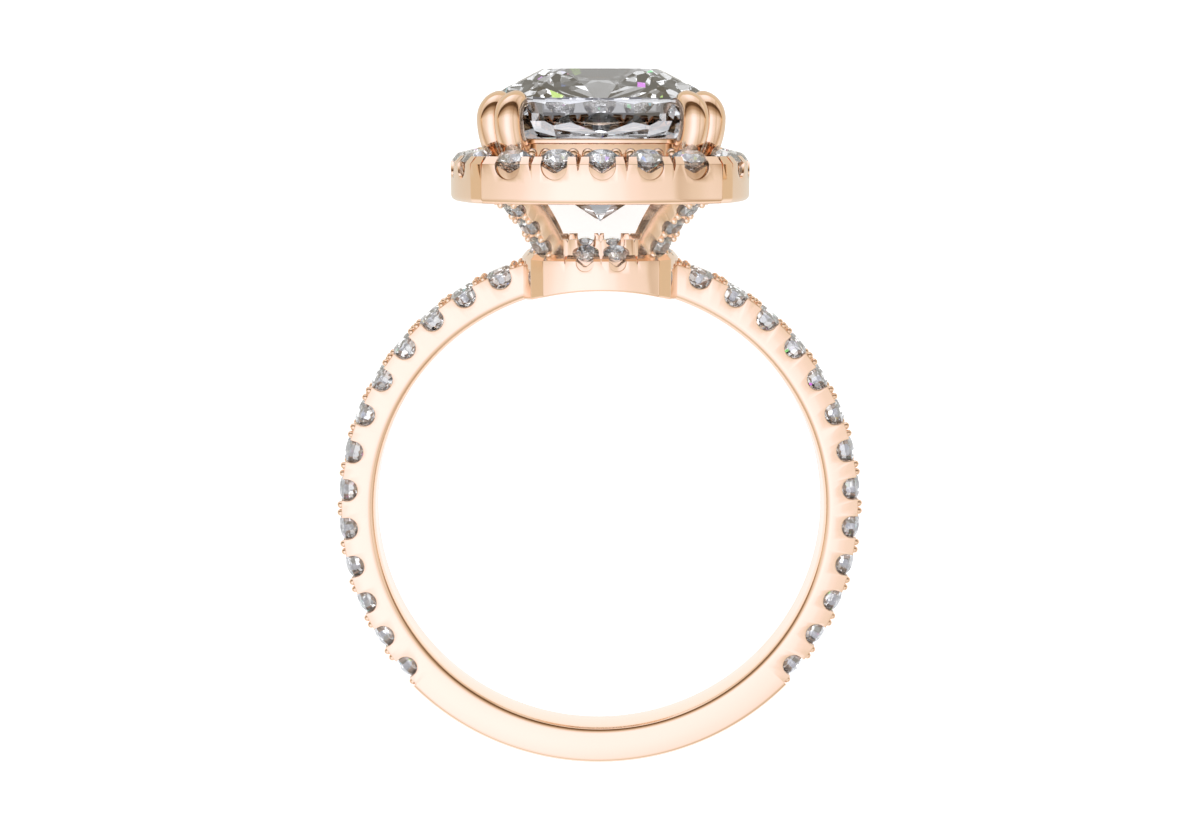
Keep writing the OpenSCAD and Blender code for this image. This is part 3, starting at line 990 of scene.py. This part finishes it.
@dataclass
class Shank:
    """The shank: scalloped side walls with prongs, a middle with the seats, and the plain lower part."""

    stones: int = 13
    stone_d: float = 1.2
    first_deg: float = 22.743
    step_deg: float = 8.86902
    girdle: float = 1.2
    side_top: float = 1.26
    cut_half: float = 0.41
    cut_floor: float = 0.68
    wall: float = 0.42
    overlap: float = 0.005
    bowl_half: float = 0.5
    bowl_floor: float = 0.56
    prong_r: float = 0.14
    prong_in: float = 0.2
    prong_foot: float = 0.9
    prong_top: float = 1.44
    prong_apart: float = 0.93
    prong_lean: float = 0.6
    prong_aim: float = 4.0
    comfort_r: float = 0.28
    root_deg: float = 16.6
    path: ShankPath = field(default_factory=lambda: ShankPath(RING.finger_r))

    def angles(self) -> list[float]:
        """Angles of the stones of one side from the head, in degrees."""
        return [self.first_deg + self.step_deg * k for k in range(self.stones)]

    def build(self) -> list[bpy.types.Object]:
        """Builds the metal of the shank and its stones.

        Returns:
            The pieces.
        """
        half = RING.shank_w / 2
        end = self.path.at_angle(self.first_deg + (self.stones - 0.5) * self.step_deg)
        plain = Wall(
            end, 2 * self.path.at_angle(180.0) - end, low=0.0, top=RING.shank_t, near=-half, far=half,
            rim=RING.edge_r, foot=self.comfort_r, foot_far=self.comfort_r, rim_steps=5,
        ).along(self.path)
        parts = [bm for side in SIGNS for bm in self._pave(side, end)] + [plain]
        return [metal_piece(parts, "shank_gold")] + [self._stones(side) for side in SIGNS]

    def _pave(self, side: int, end: float) -> list[Mesh]:
        """The part of the shank that holds stones, on one side of the head.

        Args:
            side: +1 towards +X, -1 towards -X.
            end: Distance from the head at which it gives way to the plain part.

        Returns:
            Its walls, middle and prongs.
        """
        half, root = RING.shank_w / 2, self.path.at_angle(self.root_deg)
        reach = (root, end) if side > 0 else (-end, -root)
        spots = [side * self.path.at_angle(angle) for angle in self.angles()]
        narrowed = self.cut_half * RING.finger_r / (RING.finger_r + self.girdle)
        parts: list[Mesh] = []
        for row in SIGNS:
            near = -half if row < 0 else half - self.wall
            rounded = {"foot" if row < 0 else "foot_far": self.comfort_r}
            parts.append(Wall(
                *reach, low=0.0, top=self.side_top, near=near, far=near + self.wall,
                cuts=cuts_at(spots, narrowed, self.cut_floor), rim=0.045, **rounded,
            ).along(self.path))
            parts += self._prongs(side, row * (half - self.prong_in))
        inner = half - self.wall + self.overlap
        parts.append(Wall(
            *reach, low=0.001, top=self.side_top - 0.06, near=-inner, far=inner,
            cuts=cuts_at(spots, self.bowl_half, self.bowl_floor), rim=0.0,
        ).along(self.path))
        return parts

    def _prongs(self, side: int, across: float) -> list[Mesh]:
        """Pairs of domed prongs between the stones of one row, leaning towards the middle.

        Args:
            side: +1 towards +X, -1 towards -X.
            across: Place of the row along the finger.

        Returns:
            The prongs.
        """
        made = []
        for k in range(self.stones + 1):
            middle = side * self.path.at_angle(self.first_deg + (k - 0.5) * self.step_deg)
            for sign in SIGNS:
                along = middle + sign * self.prong_r * self.prong_apart
                foot = self.path.place(along, across, self.prong_foot)
                tip = self.path.place(along, across * self.prong_lean, self.prong_aim)
                made.append(post(self.prong_r, self.prong_top - self.prong_foot, foot, tip))
        return made

    def _stones(self, side: int) -> bpy.types.Object:
        """The stones of one side of the shank."""
        up = Matrix.Translation((0, 0, RING.finger_r + self.girdle))
        places = [Matrix.Rotation(math.radians(side * angle), 4, "Y") @ up for angle in self.angles()]
        name = "shank_stones_right" if side > 0 else "shank_stones_left"
        stones = set_stones(deep_brilliant(self.stone_d), places)
        return piece(stones, name + "_cut", SMALL_GEM, Slot.SMALL, [name])


@dataclass
class Halo:
    """The halo: scalloped outer wall with a sloped lip, body with the seats, inner prongs, cup and rail."""

    stone_d: float = 1.26
    inset: float = 0.65
    sunk: float = 0.03
    lean_deg: float = 14.0
    first_turn_deg: float = 11.0
    cut_half: float = 0.46
    cut_floor: float = 12.55
    seat_half: float = 0.5
    seat_floor: float = 12.78
    outer_notch: float = 12.86
    body_notch: float = 12.85
    side_notch: float = 0.1
    corner_notch: float = 0.06
    prong_r: float = 0.215
    prong_in: float = 1.14
    prong_foot: float = 12.9
    prong_top: float = 13.62
    prong_apart: float = 1.06
    prong_lean: float = 0.12
    prong_aim: float = 14.0
    path: CushionPath = field(
        default_factory=lambda: CushionPath(RING.halo_u, RING.halo_bow, RING.halo_corner)
    )

    def notches(self, floor: float) -> list[Cut]:
        """Notches between the prongs of a pair, all the way round, down to a height."""
        crease = math.degrees(self.path.crease(0.0))
        sides = cuts_at(self._spots(GAPS), self.side_notch, floor, CutShape.VEE)
        return sides + cuts_at(self.path.spots((-crease, crease)), self.corner_notch, floor, CutShape.VEE)

    def build(self) -> list[bpy.types.Object]:
        """Builds the metal of the halo and its stones.

        Returns:
            The pieces.
        """
        length, stones = self.path.length(), self._spots(HALO_STONES)
        openings = cuts_at(stones, self.cut_half, self.cut_floor)
        seats = cuts_at(stones, self.seat_half, self.seat_floor, CutShape.VEE)
        outer = Wall(
            0.0, length, low=RING.halo_low, top=RING.halo_top, near=0.0, far=0.36,
            cuts=openings + self.notches(self.outer_notch), rim=0.05, foot=RING.edge_r,
            slope_run=0.24, slope_drop=0.26, level=12.42,
        )
        body = Wall(
            0.0, length, low=RING.halo_low + 0.004, top=13.03, near=0.2, far=2.1,
            cuts=seats + self.notches(self.body_notch), rim=0.02,
        )
        inner = Wall(0.0, length, low=12.7, top=13.1, near=1.02, far=1.4, rim=0.1, rim_steps=3)
        cup = Wall(0.0, length, low=12.4, top=13.84, near=1.768, far=2.108, rim=0.03)
        rail = Wall(
            0.0, length, low=13.75, top=13.94, near=1.698, far=2.104, rim=0.05, foot=0.04, rim_steps=3
        )
        walls = [wall.along(self.path) for wall in (outer, body, inner)]
        metal = metal_piece(walls + self._prongs(), "halo_gold")
        seat = metal_piece([wall.along(self.path) for wall in (cup, rail)], "seat_rail")
        return [metal, seat] + self._stones()

    def _spots(self, steps: Iterable[float]) -> list[float]:
        """Places on all sides, given in steps between stones from a side's middle."""
        return self.path.spots(k * RING.halo_angle for k in steps)

    def _prongs(self) -> list[Mesh]:
        """Pairs of round prongs between the stones, on the side of the cup."""
        apart = self.prong_r * self.prong_apart * self.path.half / (self.path.half - self.prong_in)
        made = []
        for spot in self._spots(GAPS):
            for sign in SIGNS:
                foot = self.path.place(spot + sign * apart, self.prong_in, self.prong_foot)
                tip = self.path.place(spot + sign * apart, self.prong_in - self.prong_lean, self.prong_aim)
                made.append(post(self.prong_r, self.prong_top - self.prong_foot, foot, tip))
        return made

    def _stones(self) -> list[bpy.types.Object]:
        """The halo's stones, one piece each."""
        made = []
        master = round_brilliant(self.stone_d).build()
        spots = [(side, k * RING.halo_angle) for side in range(4) for k in HALO_STONES]
        for number, (side, degrees) in enumerate(spots, start=1):
            spin = math.radians(self.first_turn_deg + STONE_TURN_DEG * number)
            seat = self.path.seat(side, degrees, self.inset, RING.halo_top - self.sunk, self.lean_deg)
            stone = copy_of(master, seat @ Matrix.Rotation(spin, 4, "Z"))
            name = f"halo_brilliant_{number:02d}"
            made.append(piece(stone, name, SMALL_GEM, Slot.SMALL, [f"halo_stone_{number:02d}"]))
        master.free()
        return made


@dataclass
class Claws:
    """Four pairs of bent round claws whose tips lean over the centre stone."""

    radius: float = 0.46
    belly: float = 0.52
    tip: float = 0.42
    pitch: float = 0.86
    widest: float = 5.0
    low_bend: float = 2.0
    top_bend: float = 0.6
    turn_deg: float = 68.0
    low_deg: float = 56.0
    height: float = 14.62
    sides: int = 28
    bend_steps: int = 14
    dome_steps: int = 7
    dome_flat: float = 0.4

    def build(self) -> bpy.types.Object:
        """Builds the eight claws as one piece."""
        master = self._claw()
        turns = [Matrix.Rotation(math.radians(corner), 4, "Z") for corner in (45, 135, 225, 315)]
        moves = [Matrix.Translation((0, side * self.pitch / 2, 0)) for side in SIGNS]
        made = [copy_of(master, turn @ move) for turn in turns for move in moves]
        master.free()
        return metal_piece(made, "claws", smooth_deg=60.0)

    def _claw(self) -> Mesh:
        """One claw in the XZ plane: a round bar spun round two bends, swelled, tapered and domed."""
        bm = bmesh.new()
        low, turn = math.radians(self.low_deg), math.radians(self.turn_deg)
        bottom = Vector((self.widest - self.low_bend, 0, self.height))
        top = Vector((self.widest - self.top_bend, 0, self.height))
        ring = bmesh.ops.create_circle(bm, cap_ends=True, radius=self.radius, segments=self.sides)["verts"]
        bmesh.ops.translate(bm, verts=ring, vec=(self.widest, 0, self.height))
        bmesh.ops.rotate(bm, verts=ring, cent=bottom, matrix=Matrix.Rotation(low, 3, "Y"))
        edges = bm.edges[:]
        shares = [(step + 1) / self.bend_steps * math.pi / 2 for step in range(self.bend_steps)]
        for share in shares:
            radius = self.radius + (self.belly - self.radius) * math.sin(share)
            edges = self._step(bm, edges, bottom, -low / self.bend_steps, radius)
        for share in shares:
            radius = self.belly + (self.tip - self.belly) * (1 - math.cos(share))
            edges = self._step(bm, edges, top, -turn / self.bend_steps, radius)
        lead = Vector((-math.sin(turn), 0, math.cos(turn)))
        quarter = math.pi / 2 / (self.dome_steps + self.dome_flat)
        for step in range(self.dome_steps):
            rise = self.tip * (math.sin((step + 1) * quarter) - math.sin(step * quarter))
            edges = self._grow(bm, edges, lead * rise, self.tip * math.cos((step + 1) * quarter))
        bmesh.ops.contextual_create(bm, geom=edges)
        bmesh.ops.recalc_face_normals(bm, faces=bm.faces[:])
        return bm

    def _step(self, bm: Mesh, edges: Ring, centre: Vector, angle: float, radius: float) -> Ring:
        """Carries a ring of edges one step round a bend, and scales it.

        Args:
            bm: The mesh.
            edges: The ring of edges.
            centre: Centre of the bend.
            angle: Turn about +Y, in radians.
            radius: The ring's new radius.

        Returns:
            The new ring of edges.
        """
        last = bmesh.ops.spin(
            bm, geom=list({v for e in edges for v in e.verts}) + edges, cent=centre, axis=(0, 1, 0),
            angle=angle, steps=1, use_merge=False, use_duplicate=False,
        )["geom_last"]
        return self._resized(bm, last, radius)

    def _grow(self, bm: Mesh, edges: Ring, move: Vector, radius: float) -> Ring:
        """Extrudes a ring of edges by a vector, and scales it.

        Args:
            bm: The mesh.
            edges: The ring of edges.
            move: How far the new ring moves.
            radius: The new ring's radius.

        Returns:
            The new ring of edges.
        """
        made = bmesh.ops.extrude_edge_only(bm, edges=edges)["geom"]
        bmesh.ops.translate(bm, verts=[g for g in made if isinstance(g, bmesh.types.BMVert)], vec=move)
        return self._resized(bm, made, radius)

    @staticmethod
    def _resized(bm: Mesh, made: Iterable[object], radius: float) -> Ring:
        """Picks the ring of edges out of what was made, and scales it about its own middle to a radius."""
        ring = [g for g in made if isinstance(g, bmesh.types.BMEdge)]
        verts = list({v for e in ring for v in e.verts})
        middle = sum((v.co for v in verts), Vector()) / len(verts)
        share = radius / (verts[0].co - middle).length
        bmesh.ops.scale(bm, verts=verts, vec=(share,) * 3, space=Matrix.Translation(-middle))
        return ring


@dataclass
class Base:
    """The square base over the finger hole: scalloped front and back, body with the seats, and prongs."""

    half: float = 2.9
    bow: float = 3.3
    corner: float = 3.27
    keep_deg: float = 14.0
    stone_d: float = 0.95
    step_deg: float = 10.9777
    notch_deg: float = 12.1
    split_deg: float = 12.6
    inset: float = 0.45
    side_deeper: float = 0.16
    lean_deg: float = 28.0
    stone_z: float = 9.89
    hole_r: float = 8.53
    saddle_fade: float = 0.7

    def build(self) -> list[bpy.types.Object]:
        """Builds the metal of the base and its stones.

        Returns:
            The pieces.
        """
        path = CushionPath(self.half, self.bow, self.corner, self.keep_deg)
        length, pair = path.length(), (-0.5 * self.step_deg, 0.5 * self.step_deg)
        notches = path.spots((-self.notch_deg, 0.0, self.notch_deg))
        splits = path.spots((-self.split_deg, 0.0, self.split_deg))
        outer = Wall(
            0.0, length, low=self.hole_r, top=9.8, near=0.0, far=0.3,
            cuts=cuts_at(path.spots(pair, (0, 2)), half=0.315, floor=9.23)
            + cuts_at(notches, half=0.06, floor=9.5, shape=CutShape.VEE),
            rim=0.03, foot=0.08, slope_run=0.18, slope_drop=0.2, level=9.12,
        )
        body = Wall(
            0.0, length, low=self.hole_r + 0.002, top=9.64, near=0.15, far=0.9,
            cuts=cuts_at(path.spots(pair), half=0.36, floor=9.4, shape=CutShape.VEE), rim=0.02,
        )
        inner = Wall(
            0.0, length, low=self.hole_r + 0.001, top=10.33, near=0.68, far=0.95,
            cuts=cuts_at(path.spots(pair), half=0.38, floor=9.84)
            + cuts_at(splits, half=0.055, floor=10.24, shape=CutShape.VEE),
            rim=0.035, foot_far=0.05,
        )
        parts = [wall.along(path) for wall in (outer, body, inner)]
        for bm in parts:
            self._saddle(bm)
        gold = metal_piece(parts, "base_gold")
        places = [
            path.seat(side, degrees, self.inset + self.side_deeper * (side % 2), self.stone_z, self.lean_deg)
            for side in range(4) for degrees in pair
        ]
        stones = set_stones(round_brilliant(self.stone_d), places)
        return [gold, piece(stones, "base_stones_cut", SMALL_GEM, Slot.SMALL, ["base_stones"])]

    def _saddle(self, bm: Mesh) -> None:
        """Pulls the base's underside onto the finger hole's cylinder, fading out up the walls."""
        for vert in bm.verts:
            share = min(1.0, max(0.0, 1.0 - (vert.co.z - self.hole_r) / self.saddle_fade))
            drop = math.sqrt(max(0.0, self.hole_r ** 2 - vert.co.x ** 2)) - self.hole_r
            vert.co.z += drop * share


@dataclass
class Strut:
    """One strut from the base's corner to the halo, with three stones between bead prongs."""

    number: int
    width: float = 1.0
    thick: float = 0.73
    skin: float = 0.27
    overlap: float = 0.005
    stone_d: float = 0.8
    step: float = 0.92
    reach: float = 1.75
    cut_half: float = 0.29
    cut_floor: float = -0.17
    seat_half: float = 0.33
    seat_floor: float = -0.24
    bead_r: float = 0.13
    bead_apart: float = 0.12
    bead_in: float = 0.03
    bead_sunk: float = 0.02
    bead_stretch: float = 1.35

    def build(self) -> list[bpy.types.Object]:
        """Builds the strut and its stones.

        Returns:
            The pieces.
        """
        path = StrutPath(90.0 * self.number - 45.0)
        half, spots = self.width / 2, [k * self.step for k in (-1, 0, 1)]
        cuts = cuts_at(spots, self.cut_half, self.cut_floor)
        seats = cuts_at(spots, self.seat_half, self.seat_floor, CutShape.VEE)
        inner = half - self.skin + self.overlap
        ends, side = (-self.reach, self.reach), {"low": -self.thick, "top": 0.0, "cuts": cuts, "rim": 0.04}
        walls = [
            Wall(*ends, near=-half, far=-half + self.skin, foot=0.05, **side),
            Wall(*ends, near=half - self.skin, far=half, foot_far=0.05, **side),
            Wall(*ends, low=-self.thick + 0.002, top=-0.03, near=-inner, far=inner, cuts=seats, rim=0.0),
        ]
        parts = [wall.along(path) for wall in walls]
        for gap in GAPS:
            for pair in (-self.bead_apart, self.bead_apart):
                for sign in SIGNS:
                    across = sign * (half - self.bead_r - self.bead_in)
                    parts.append(self._bead(path, gap * self.step + pair, across))
        # The strut's gold is painted lighter than the rest of the gold.
        metal = metal_piece(parts, f"strut_{self.number}", GOLD_STRUT)
        places = [standing(path.place(spot, 0.0, 0.0), path.place(spot, 0.0, 1.0)) for spot in spots]
        name = f"strut_stones_{self.number}"
        stones = set_stones(round_brilliant(self.stone_d), places)
        return [metal, piece(stones, name + "_cut", SMALL_GEM, Slot.SMALL, [name])]

    def _bead(self, path: StrutPath, along: float, across: float) -> Mesh:
        """A bead prong: a ball drawn out along its own axis, sunk a little in the strut's face."""
        bm = bmesh.new()
        bmesh.ops.create_uvsphere(bm, u_segments=14, v_segments=10, radius=self.bead_r)
        place = standing(path.place(along, across, -self.bead_sunk), path.place(along, across, 1.0))
        stretch = Matrix.Diagonal((1.0, 1.0, self.bead_stretch, 1.0))
        bmesh.ops.transform(bm, matrix=place @ stretch, verts=bm.verts[:])
        return bm


@dataclass
class CentreStone:
    """The centre stone: a cushion cut with stepped pavilion mains. Its girdle's lower edge is at height 0."""

    half: float = 4.1
    squareness: float = 2.9
    sides: int = 48
    girdle: float = 0.15
    crown: float = 1.06

    def build(self) -> bpy.types.Object:
        """Cuts the stone and sets it over the rail."""
        top, depth = self.girdle + self.crown, RING.girdle_z - RING.culet_z
        crown = (
            FacetRow(4, 28.0, 1.0, self.girdle),
            FacetRow(4, 31.0, 1.0, self.girdle, 45.0),
            FacetRow(8, 19.0, 0.6, top, 22.5),
            FacetRow(16, 14.0, 0.575, top, 11.25),
            FacetRow(16, 36.0, 1.0, self.girdle, 11.25),
            FacetRow(16, 25.0, 0.79, self.girdle + 0.56 * self.crown),
        )
        pavilion = (
            FacetRow(32, 66.0, 1.0, 0.0, 0.0, False),
            FacetRow(24, 59.0, 0.985, -0.1 * depth, 0.0, False),
            FacetRow(24, 51.0, 0.8, -0.32 * depth, 7.5, False),
            FacetRow(24, 44.0, 0.56, -0.6 * depth, 0.0, False),
            FacetRow(16, 39.0, 0.3, -0.82 * depth, 11.25, False),
            FacetRow(8, 34.0, 0.0, -depth, 0.0, False),
        )
        bm = CutStone(self.half, top, crown + pavilion, self.squareness, self.sides).build()
        bmesh.ops.translate(bm, verts=bm.verts[:], vec=(0, 0, RING.girdle_z))
        return piece(bm, "centre_cushion", CENTRE_GEM, Slot.CENTRE, ["centre_stone"])


# Studio


@dataclass
class Studio:
    """Pale floor, soft light and the camera of the photograph.

    Metal, stones and camera each see their own floor and sky. Tones over an angle are listed as degrees and
    brightness, the pitch being 0 straight in front of the ring and the side 0 in its middle.
    """

    distance: float = 65.0
    rise: float = 14.142
    pitch: float = 0.1613
    yaw: float = 0.0149
    lens: float = 52.17
    floor_half: float = 1.5
    floor_glow: float = 0.74
    # Painted reflection of the floor that metal sees: floor_far is its warm, dim tone far off, and head_span
    # and far_span are where it changes.
    floor_far: Colour = (0.74, 0.655, 0.5)
    # floor_cards and floor_strength set the painted pattern of cards that stones see on the floor.
    floor_cards: float = 110.0
    floor_strength: float = 0.74
    head_span: tuple[float, float] = (-0.012, 0.016)
    far_span: tuple[float, float] = (0.02, 0.06)
    lamp_at: tuple[float, float, float] = (0.03, 0.06, 0.5)
    lamp_size: float = 0.42
    lamp_watts: float = 1.0
    card_scale: float = 4.2
    card_tint: Colour = (1.0, 1.01, 1.03)
    cell_random: float = 0.9
    fire_scale: float = 34.0
    fire_share: float = 0.06
    fire_depth: float = 0.75
    fire_level: float = 1.3
    card_tones: Tones = ((0.0, 0.0), (0.14, 0.06), (0.2, 0.33), (0.36, 0.7), (0.56, 1.15), (0.78, 2.4))
    by_pitch: Tones = (
        (-140.0, 0.55), (-69.0, 0.62), (-40.0, 0.85), (-18.0, 1.0), (3.0, 0.98), (12.0, 0.88), (22.0, 0.66),
        (40.0, 0.34), (52.0, 0.09), (64.0, 0.09), (68.0, 0.72), (90.0, 0.92), (120.0, 1.0),
    )
    by_side: Tones = (
        (-90.0, 0.66), (-66.0, 0.84), (-52.0, 0.92), (-38.0, 1.03), (-27.0, 1.21), (-17.0, 1.34),
        (-3.0, 1.33), (8.0, 1.22), (14.0, 1.08), (22.0, 1.0), (33.0, 0.97), (34.5, 0.68), (37.0, 0.76),
        (42.0, 0.85), (50.0, 0.95), (64.0, 0.85), (90.0, 0.66),
    )
    warmth: Colours = (
        (0.0, (0.0, 0.0, 0.0)), (0.15, (0.17, 0.1, 0.05)), (0.5, (0.54, 0.42, 0.3)),
        (0.87, (0.89, 0.84, 0.77)), (1.3, (1.3, 1.3, 1.5)), (1.6, (1.6, 1.6, 1.9)),
    )
    amber: Colours = (
        (-90.0, (1.3, 1.08, 0.76)), (-72.0, (1.0, 1.0, 1.0)),
        (72.0, (1.0, 1.0, 1.0)), (90.0, (1.3, 1.08, 0.76)),
    )
    # Painted reflection: tones of the floor as metal mirrors it, darker towards the head.
    floor_by_head: Tones = ((0.0, 1.15), (0.3, 1.1), (0.55, 0.92), (0.75, 0.8), (1.0, 0.76))

    def build(self) -> None:
        """Makes the floor, the sky, the lamp and the camera."""
        bpy.context.scene.view_settings.view_transform = "Standard"
        self._floor()
        self._sky()
        self._lamp()
        self._camera()

    def _floor(self) -> None:
        """A pale plane under the ring that glows evenly. Metal mirrors it as a painted reflection that
        darkens towards the head and turns warm and dim farther off, and stones see on it a painted pattern of
        cards.
        """
        bm = bmesh.new()
        bmesh.ops.create_grid(bm, x_segments=2, y_segments=2, size=self.floor_half)
        mesh = bpy.data.meshes.new("floor")
        bm.to_mesh(mesh)
        bm.free()
        floor = bpy.data.objects.new("floor", mesh)
        bpy.context.scene.collection.objects.link(floor)
        mat, graph, shader = new_material("pale_floor")
        ray = graph.add("ShaderNodeLightPath").outputs
        where = graph.add("ShaderNodeTexCoord").outputs["Object"]
        head = graph.spread(graph.add("ShaderNodeSeparateXYZ", {0: where}).outputs["Y"], self.head_span)
        reach = graph.add("ShaderNodeVectorMath", {0: where}, operation="LENGTH").outputs["Value"]
        # Painted reflection: the floor as metal mirrors it is darker towards the head, and warm and dim
        # farther from the ring.
        painted_reflection_tone = graph.ramp(head, [(at, (tone, tone**1.15, tone**1.6)) for at, tone in self.floor_by_head])
        mirrored = graph.blend(graph.spread(reach, self.far_span), painted_reflection_tone, self.floor_far)
        plain = graph.blend(ray["Is Glossy Ray"], (self.floor_glow,) * 3, mirrored)
        # Painted light for the stones: a pattern of bright and dark cards on the floor that only rays inside
        # the stones see.
        cards = self._facet_sky(graph, where, self.floor_cards, 0.0, self.floor_strength)
        graph.feed(shader, {
            "Roughness": 0.8,
            "Specular IOR Level": 0.1,
            "Base Color": graph.blend(ray["Is Glossy Ray"], (0.5, 0.5, 0.5), (0.0, 0.0, 0.0)),
            "Emission Color": graph.blend(ray["Is Transmission Ray"], plain, cards),
            "Emission Strength": 1.0,
        })
        mesh.materials.append(mat)

    def _sky(self) -> None:
        """A soft white surround with dimmer bands, laid out by angles about the upright ring."""
        world = bpy.data.worlds.new("studio")
        bpy.context.scene.world = world
        world.use_nodes = True
        world.node_tree.nodes.clear()
        graph = Graph(world.node_tree)
        where = graph.add("ShaderNodeTexCoord").outputs["Generated"]
        upright = graph.add(
            "ShaderNodeVectorRotate", {"Vector": where, "Angle": RING.turn()}, rotation_type="X_AXIS"
        ).outputs[0]
        axes = graph.add("ShaderNodeSeparateXYZ", {0: upright}).outputs
        pitch = graph.maths("ARCTAN2", axes["Z"], graph.maths("MULTIPLY", axes["Y"], -1.0))
        side = graph.maths("ARCSINE", axes["X"])
        curves = [
            self._over_angle(graph, angle, [(at, (tone,) * 3) for at, tone in tones], "EASE")
            for angle, tones in ((pitch, self.by_pitch), (side, self.by_side))
        ]
        brightest = self.warmth[-1][0]
        level = graph.maths("DIVIDE", graph.maths("MULTIPLY", *curves), brightest)
        warm = graph.ramp(level, [(tone / brightest, colour) for tone, colour in self.warmth])
        amber = self._over_angle(graph, side, self.amber)
        tinted = graph.add("ShaderNodeVectorMath", {0: warm, 1: amber}, operation="MULTIPLY").outputs[0]
        ray = graph.add("ShaderNodeLightPath").outputs
        plain = graph.blend(ray["Is Glossy Ray"], (1.0, 1.0, 1.0), tinted)
        through = self._facet_sky(graph, upright, 1.0, self.fire_share, 1.0)
        seen = graph.blend(ray["Is Transmission Ray"], plain, through)
        back = graph.add("ShaderNodeBackground", {"Color": seen})
        graph.add("ShaderNodeOutputWorld", {"Surface": back.outputs[0]})

    @staticmethod
    def _over_angle(
        graph: Graph, angle: Socket, stops: Iterable[tuple[float, Colour]], kind: str = "LINEAR"
    ) -> Socket:
        """Colour for an angle in radians, with stops in degrees from -180 to 180."""
        share = graph.maths("MULTIPLY_ADD", angle, 0.5 / math.pi, 0.5)
        return graph.ramp(share, [((degrees + 180.0) / 360.0, colour) for degrees, colour in stops], kind)

    def _facet_sky(
        self, graph: Graph, direction: Socket, fineness: float, fire_share: float, strength: float
    ) -> Socket:
        """What the stones look out on: many small cards from black to white, and a few in spectral colours.

        Args:
            graph: Graph of the world or of the floor.
            direction: Direction in the upright ring's frame, or place on the floor.
            fineness: How many times finer the cards are than in the world.
            fire_share: Share of the spectral colours.
            strength: Brightness of the cards against the tones listed.

        Returns:
            The colour seen.
        """
        axes = graph.add("ShaderNodeSeparateXYZ", {0: direction}).outputs
        mirrored = {"X": graph.maths("ABSOLUTE", axes["X"]), "Y": axes["Y"], "Z": axes["Z"]}
        even = graph.add("ShaderNodeCombineXYZ", mirrored).outputs[0]
        card, fire = (
            self._cells(graph, place, scale * fineness)
            for place, scale in ((even, self.card_scale), (direction, self.fire_scale))
        )
        tones = [
            (at, tuple(level * strength * share for share in self.card_tint)) for at, level in self.card_tones
        ]
        rare = graph.maths("GREATER_THAN", fire[0], 1.0 - fire_share)
        flash = {0: fire[1], 1: self.fire_depth, 2: self.fire_level}
        hue = graph.add("ShaderNodeCombineColor", flash, mode="HSV").outputs[0]
        return graph.blend(rare, graph.ramp(card[0], tones, "CONSTANT"), hue)

    def _cells(self, graph: Graph, place: Socket, scale: float) -> bpy.types.NodeOutputs:
        """Three even random values for each cell of space."""
        inputs = {"Vector": place, "Scale": scale, "Randomness": self.cell_random}
        cells = graph.add("ShaderNodeTexVoronoi", inputs).outputs["Color"]
        return graph.add("ShaderNodeSeparateColor", {0: cells}).outputs

    def _lamp(self) -> None:
        """A large soft lamp over the ring, kept out of what metal mirrors and stones let through."""
        data = bpy.data.lights.new("overhead", "AREA")
        data.shape, data.size, data.energy = "DISK", self.lamp_size, self.lamp_watts
        lamp = bpy.data.objects.new("overhead", data)
        lamp.location = self.lamp_at
        lamp.rotation_euler = (-Vector(self.lamp_at)).to_track_quat("-Z", "Y").to_euler()
        lamp.visible_glossy = lamp.visible_transmission = False
        bpy.context.scene.collection.objects.link(lamp)

    def _camera(self) -> None:
        """The photograph's camera, laid down with the ring."""
        sp, cp = math.sin(self.pitch), math.cos(self.pitch)
        sy, cy = math.sin(self.yaw), math.cos(self.yaw)
        forward = Vector((sy * cp, cy * cp, -sp))
        right = Vector((cy, -sy, 0.0))
        axes = Matrix((right, right.cross(forward), -forward)).transposed()
        spot = LYING @ Vector((-self.distance * sy, -self.distance * cy, self.rise))
        rotation = LYING.to_3x3().normalized() @ axes
        data = bpy.data.cameras.new("photo_camera")
        data.sensor_fit, data.sensor_width, data.lens = "HORIZONTAL", 36.0, self.lens
        data.clip_start, data.clip_end = 0.001, 10.0
        camera = bpy.data.objects.new("photo_camera", data)
        camera.matrix_world = Matrix.Translation(spot) @ rotation.to_4x4()
        bpy.context.scene.collection.objects.link(camera)
        bpy.context.scene.camera = camera


def main() -> None:
    """Builds the ring on the fixed frame, then the studio, and logs how many pieces were made."""
    logging.basicConfig(level=logging.INFO, format="%(name)s %(message)s")
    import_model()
    made = [CentreStone().build(), Claws().build()]
    made += Halo().build() + Base().build() + Shank().build()
    for number in range(1, 5):
        made += Strut(number).build()
    Studio().build()
    LOG.info("%d pieces", len(made))
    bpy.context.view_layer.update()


if __name__ == "__main__":
    main()
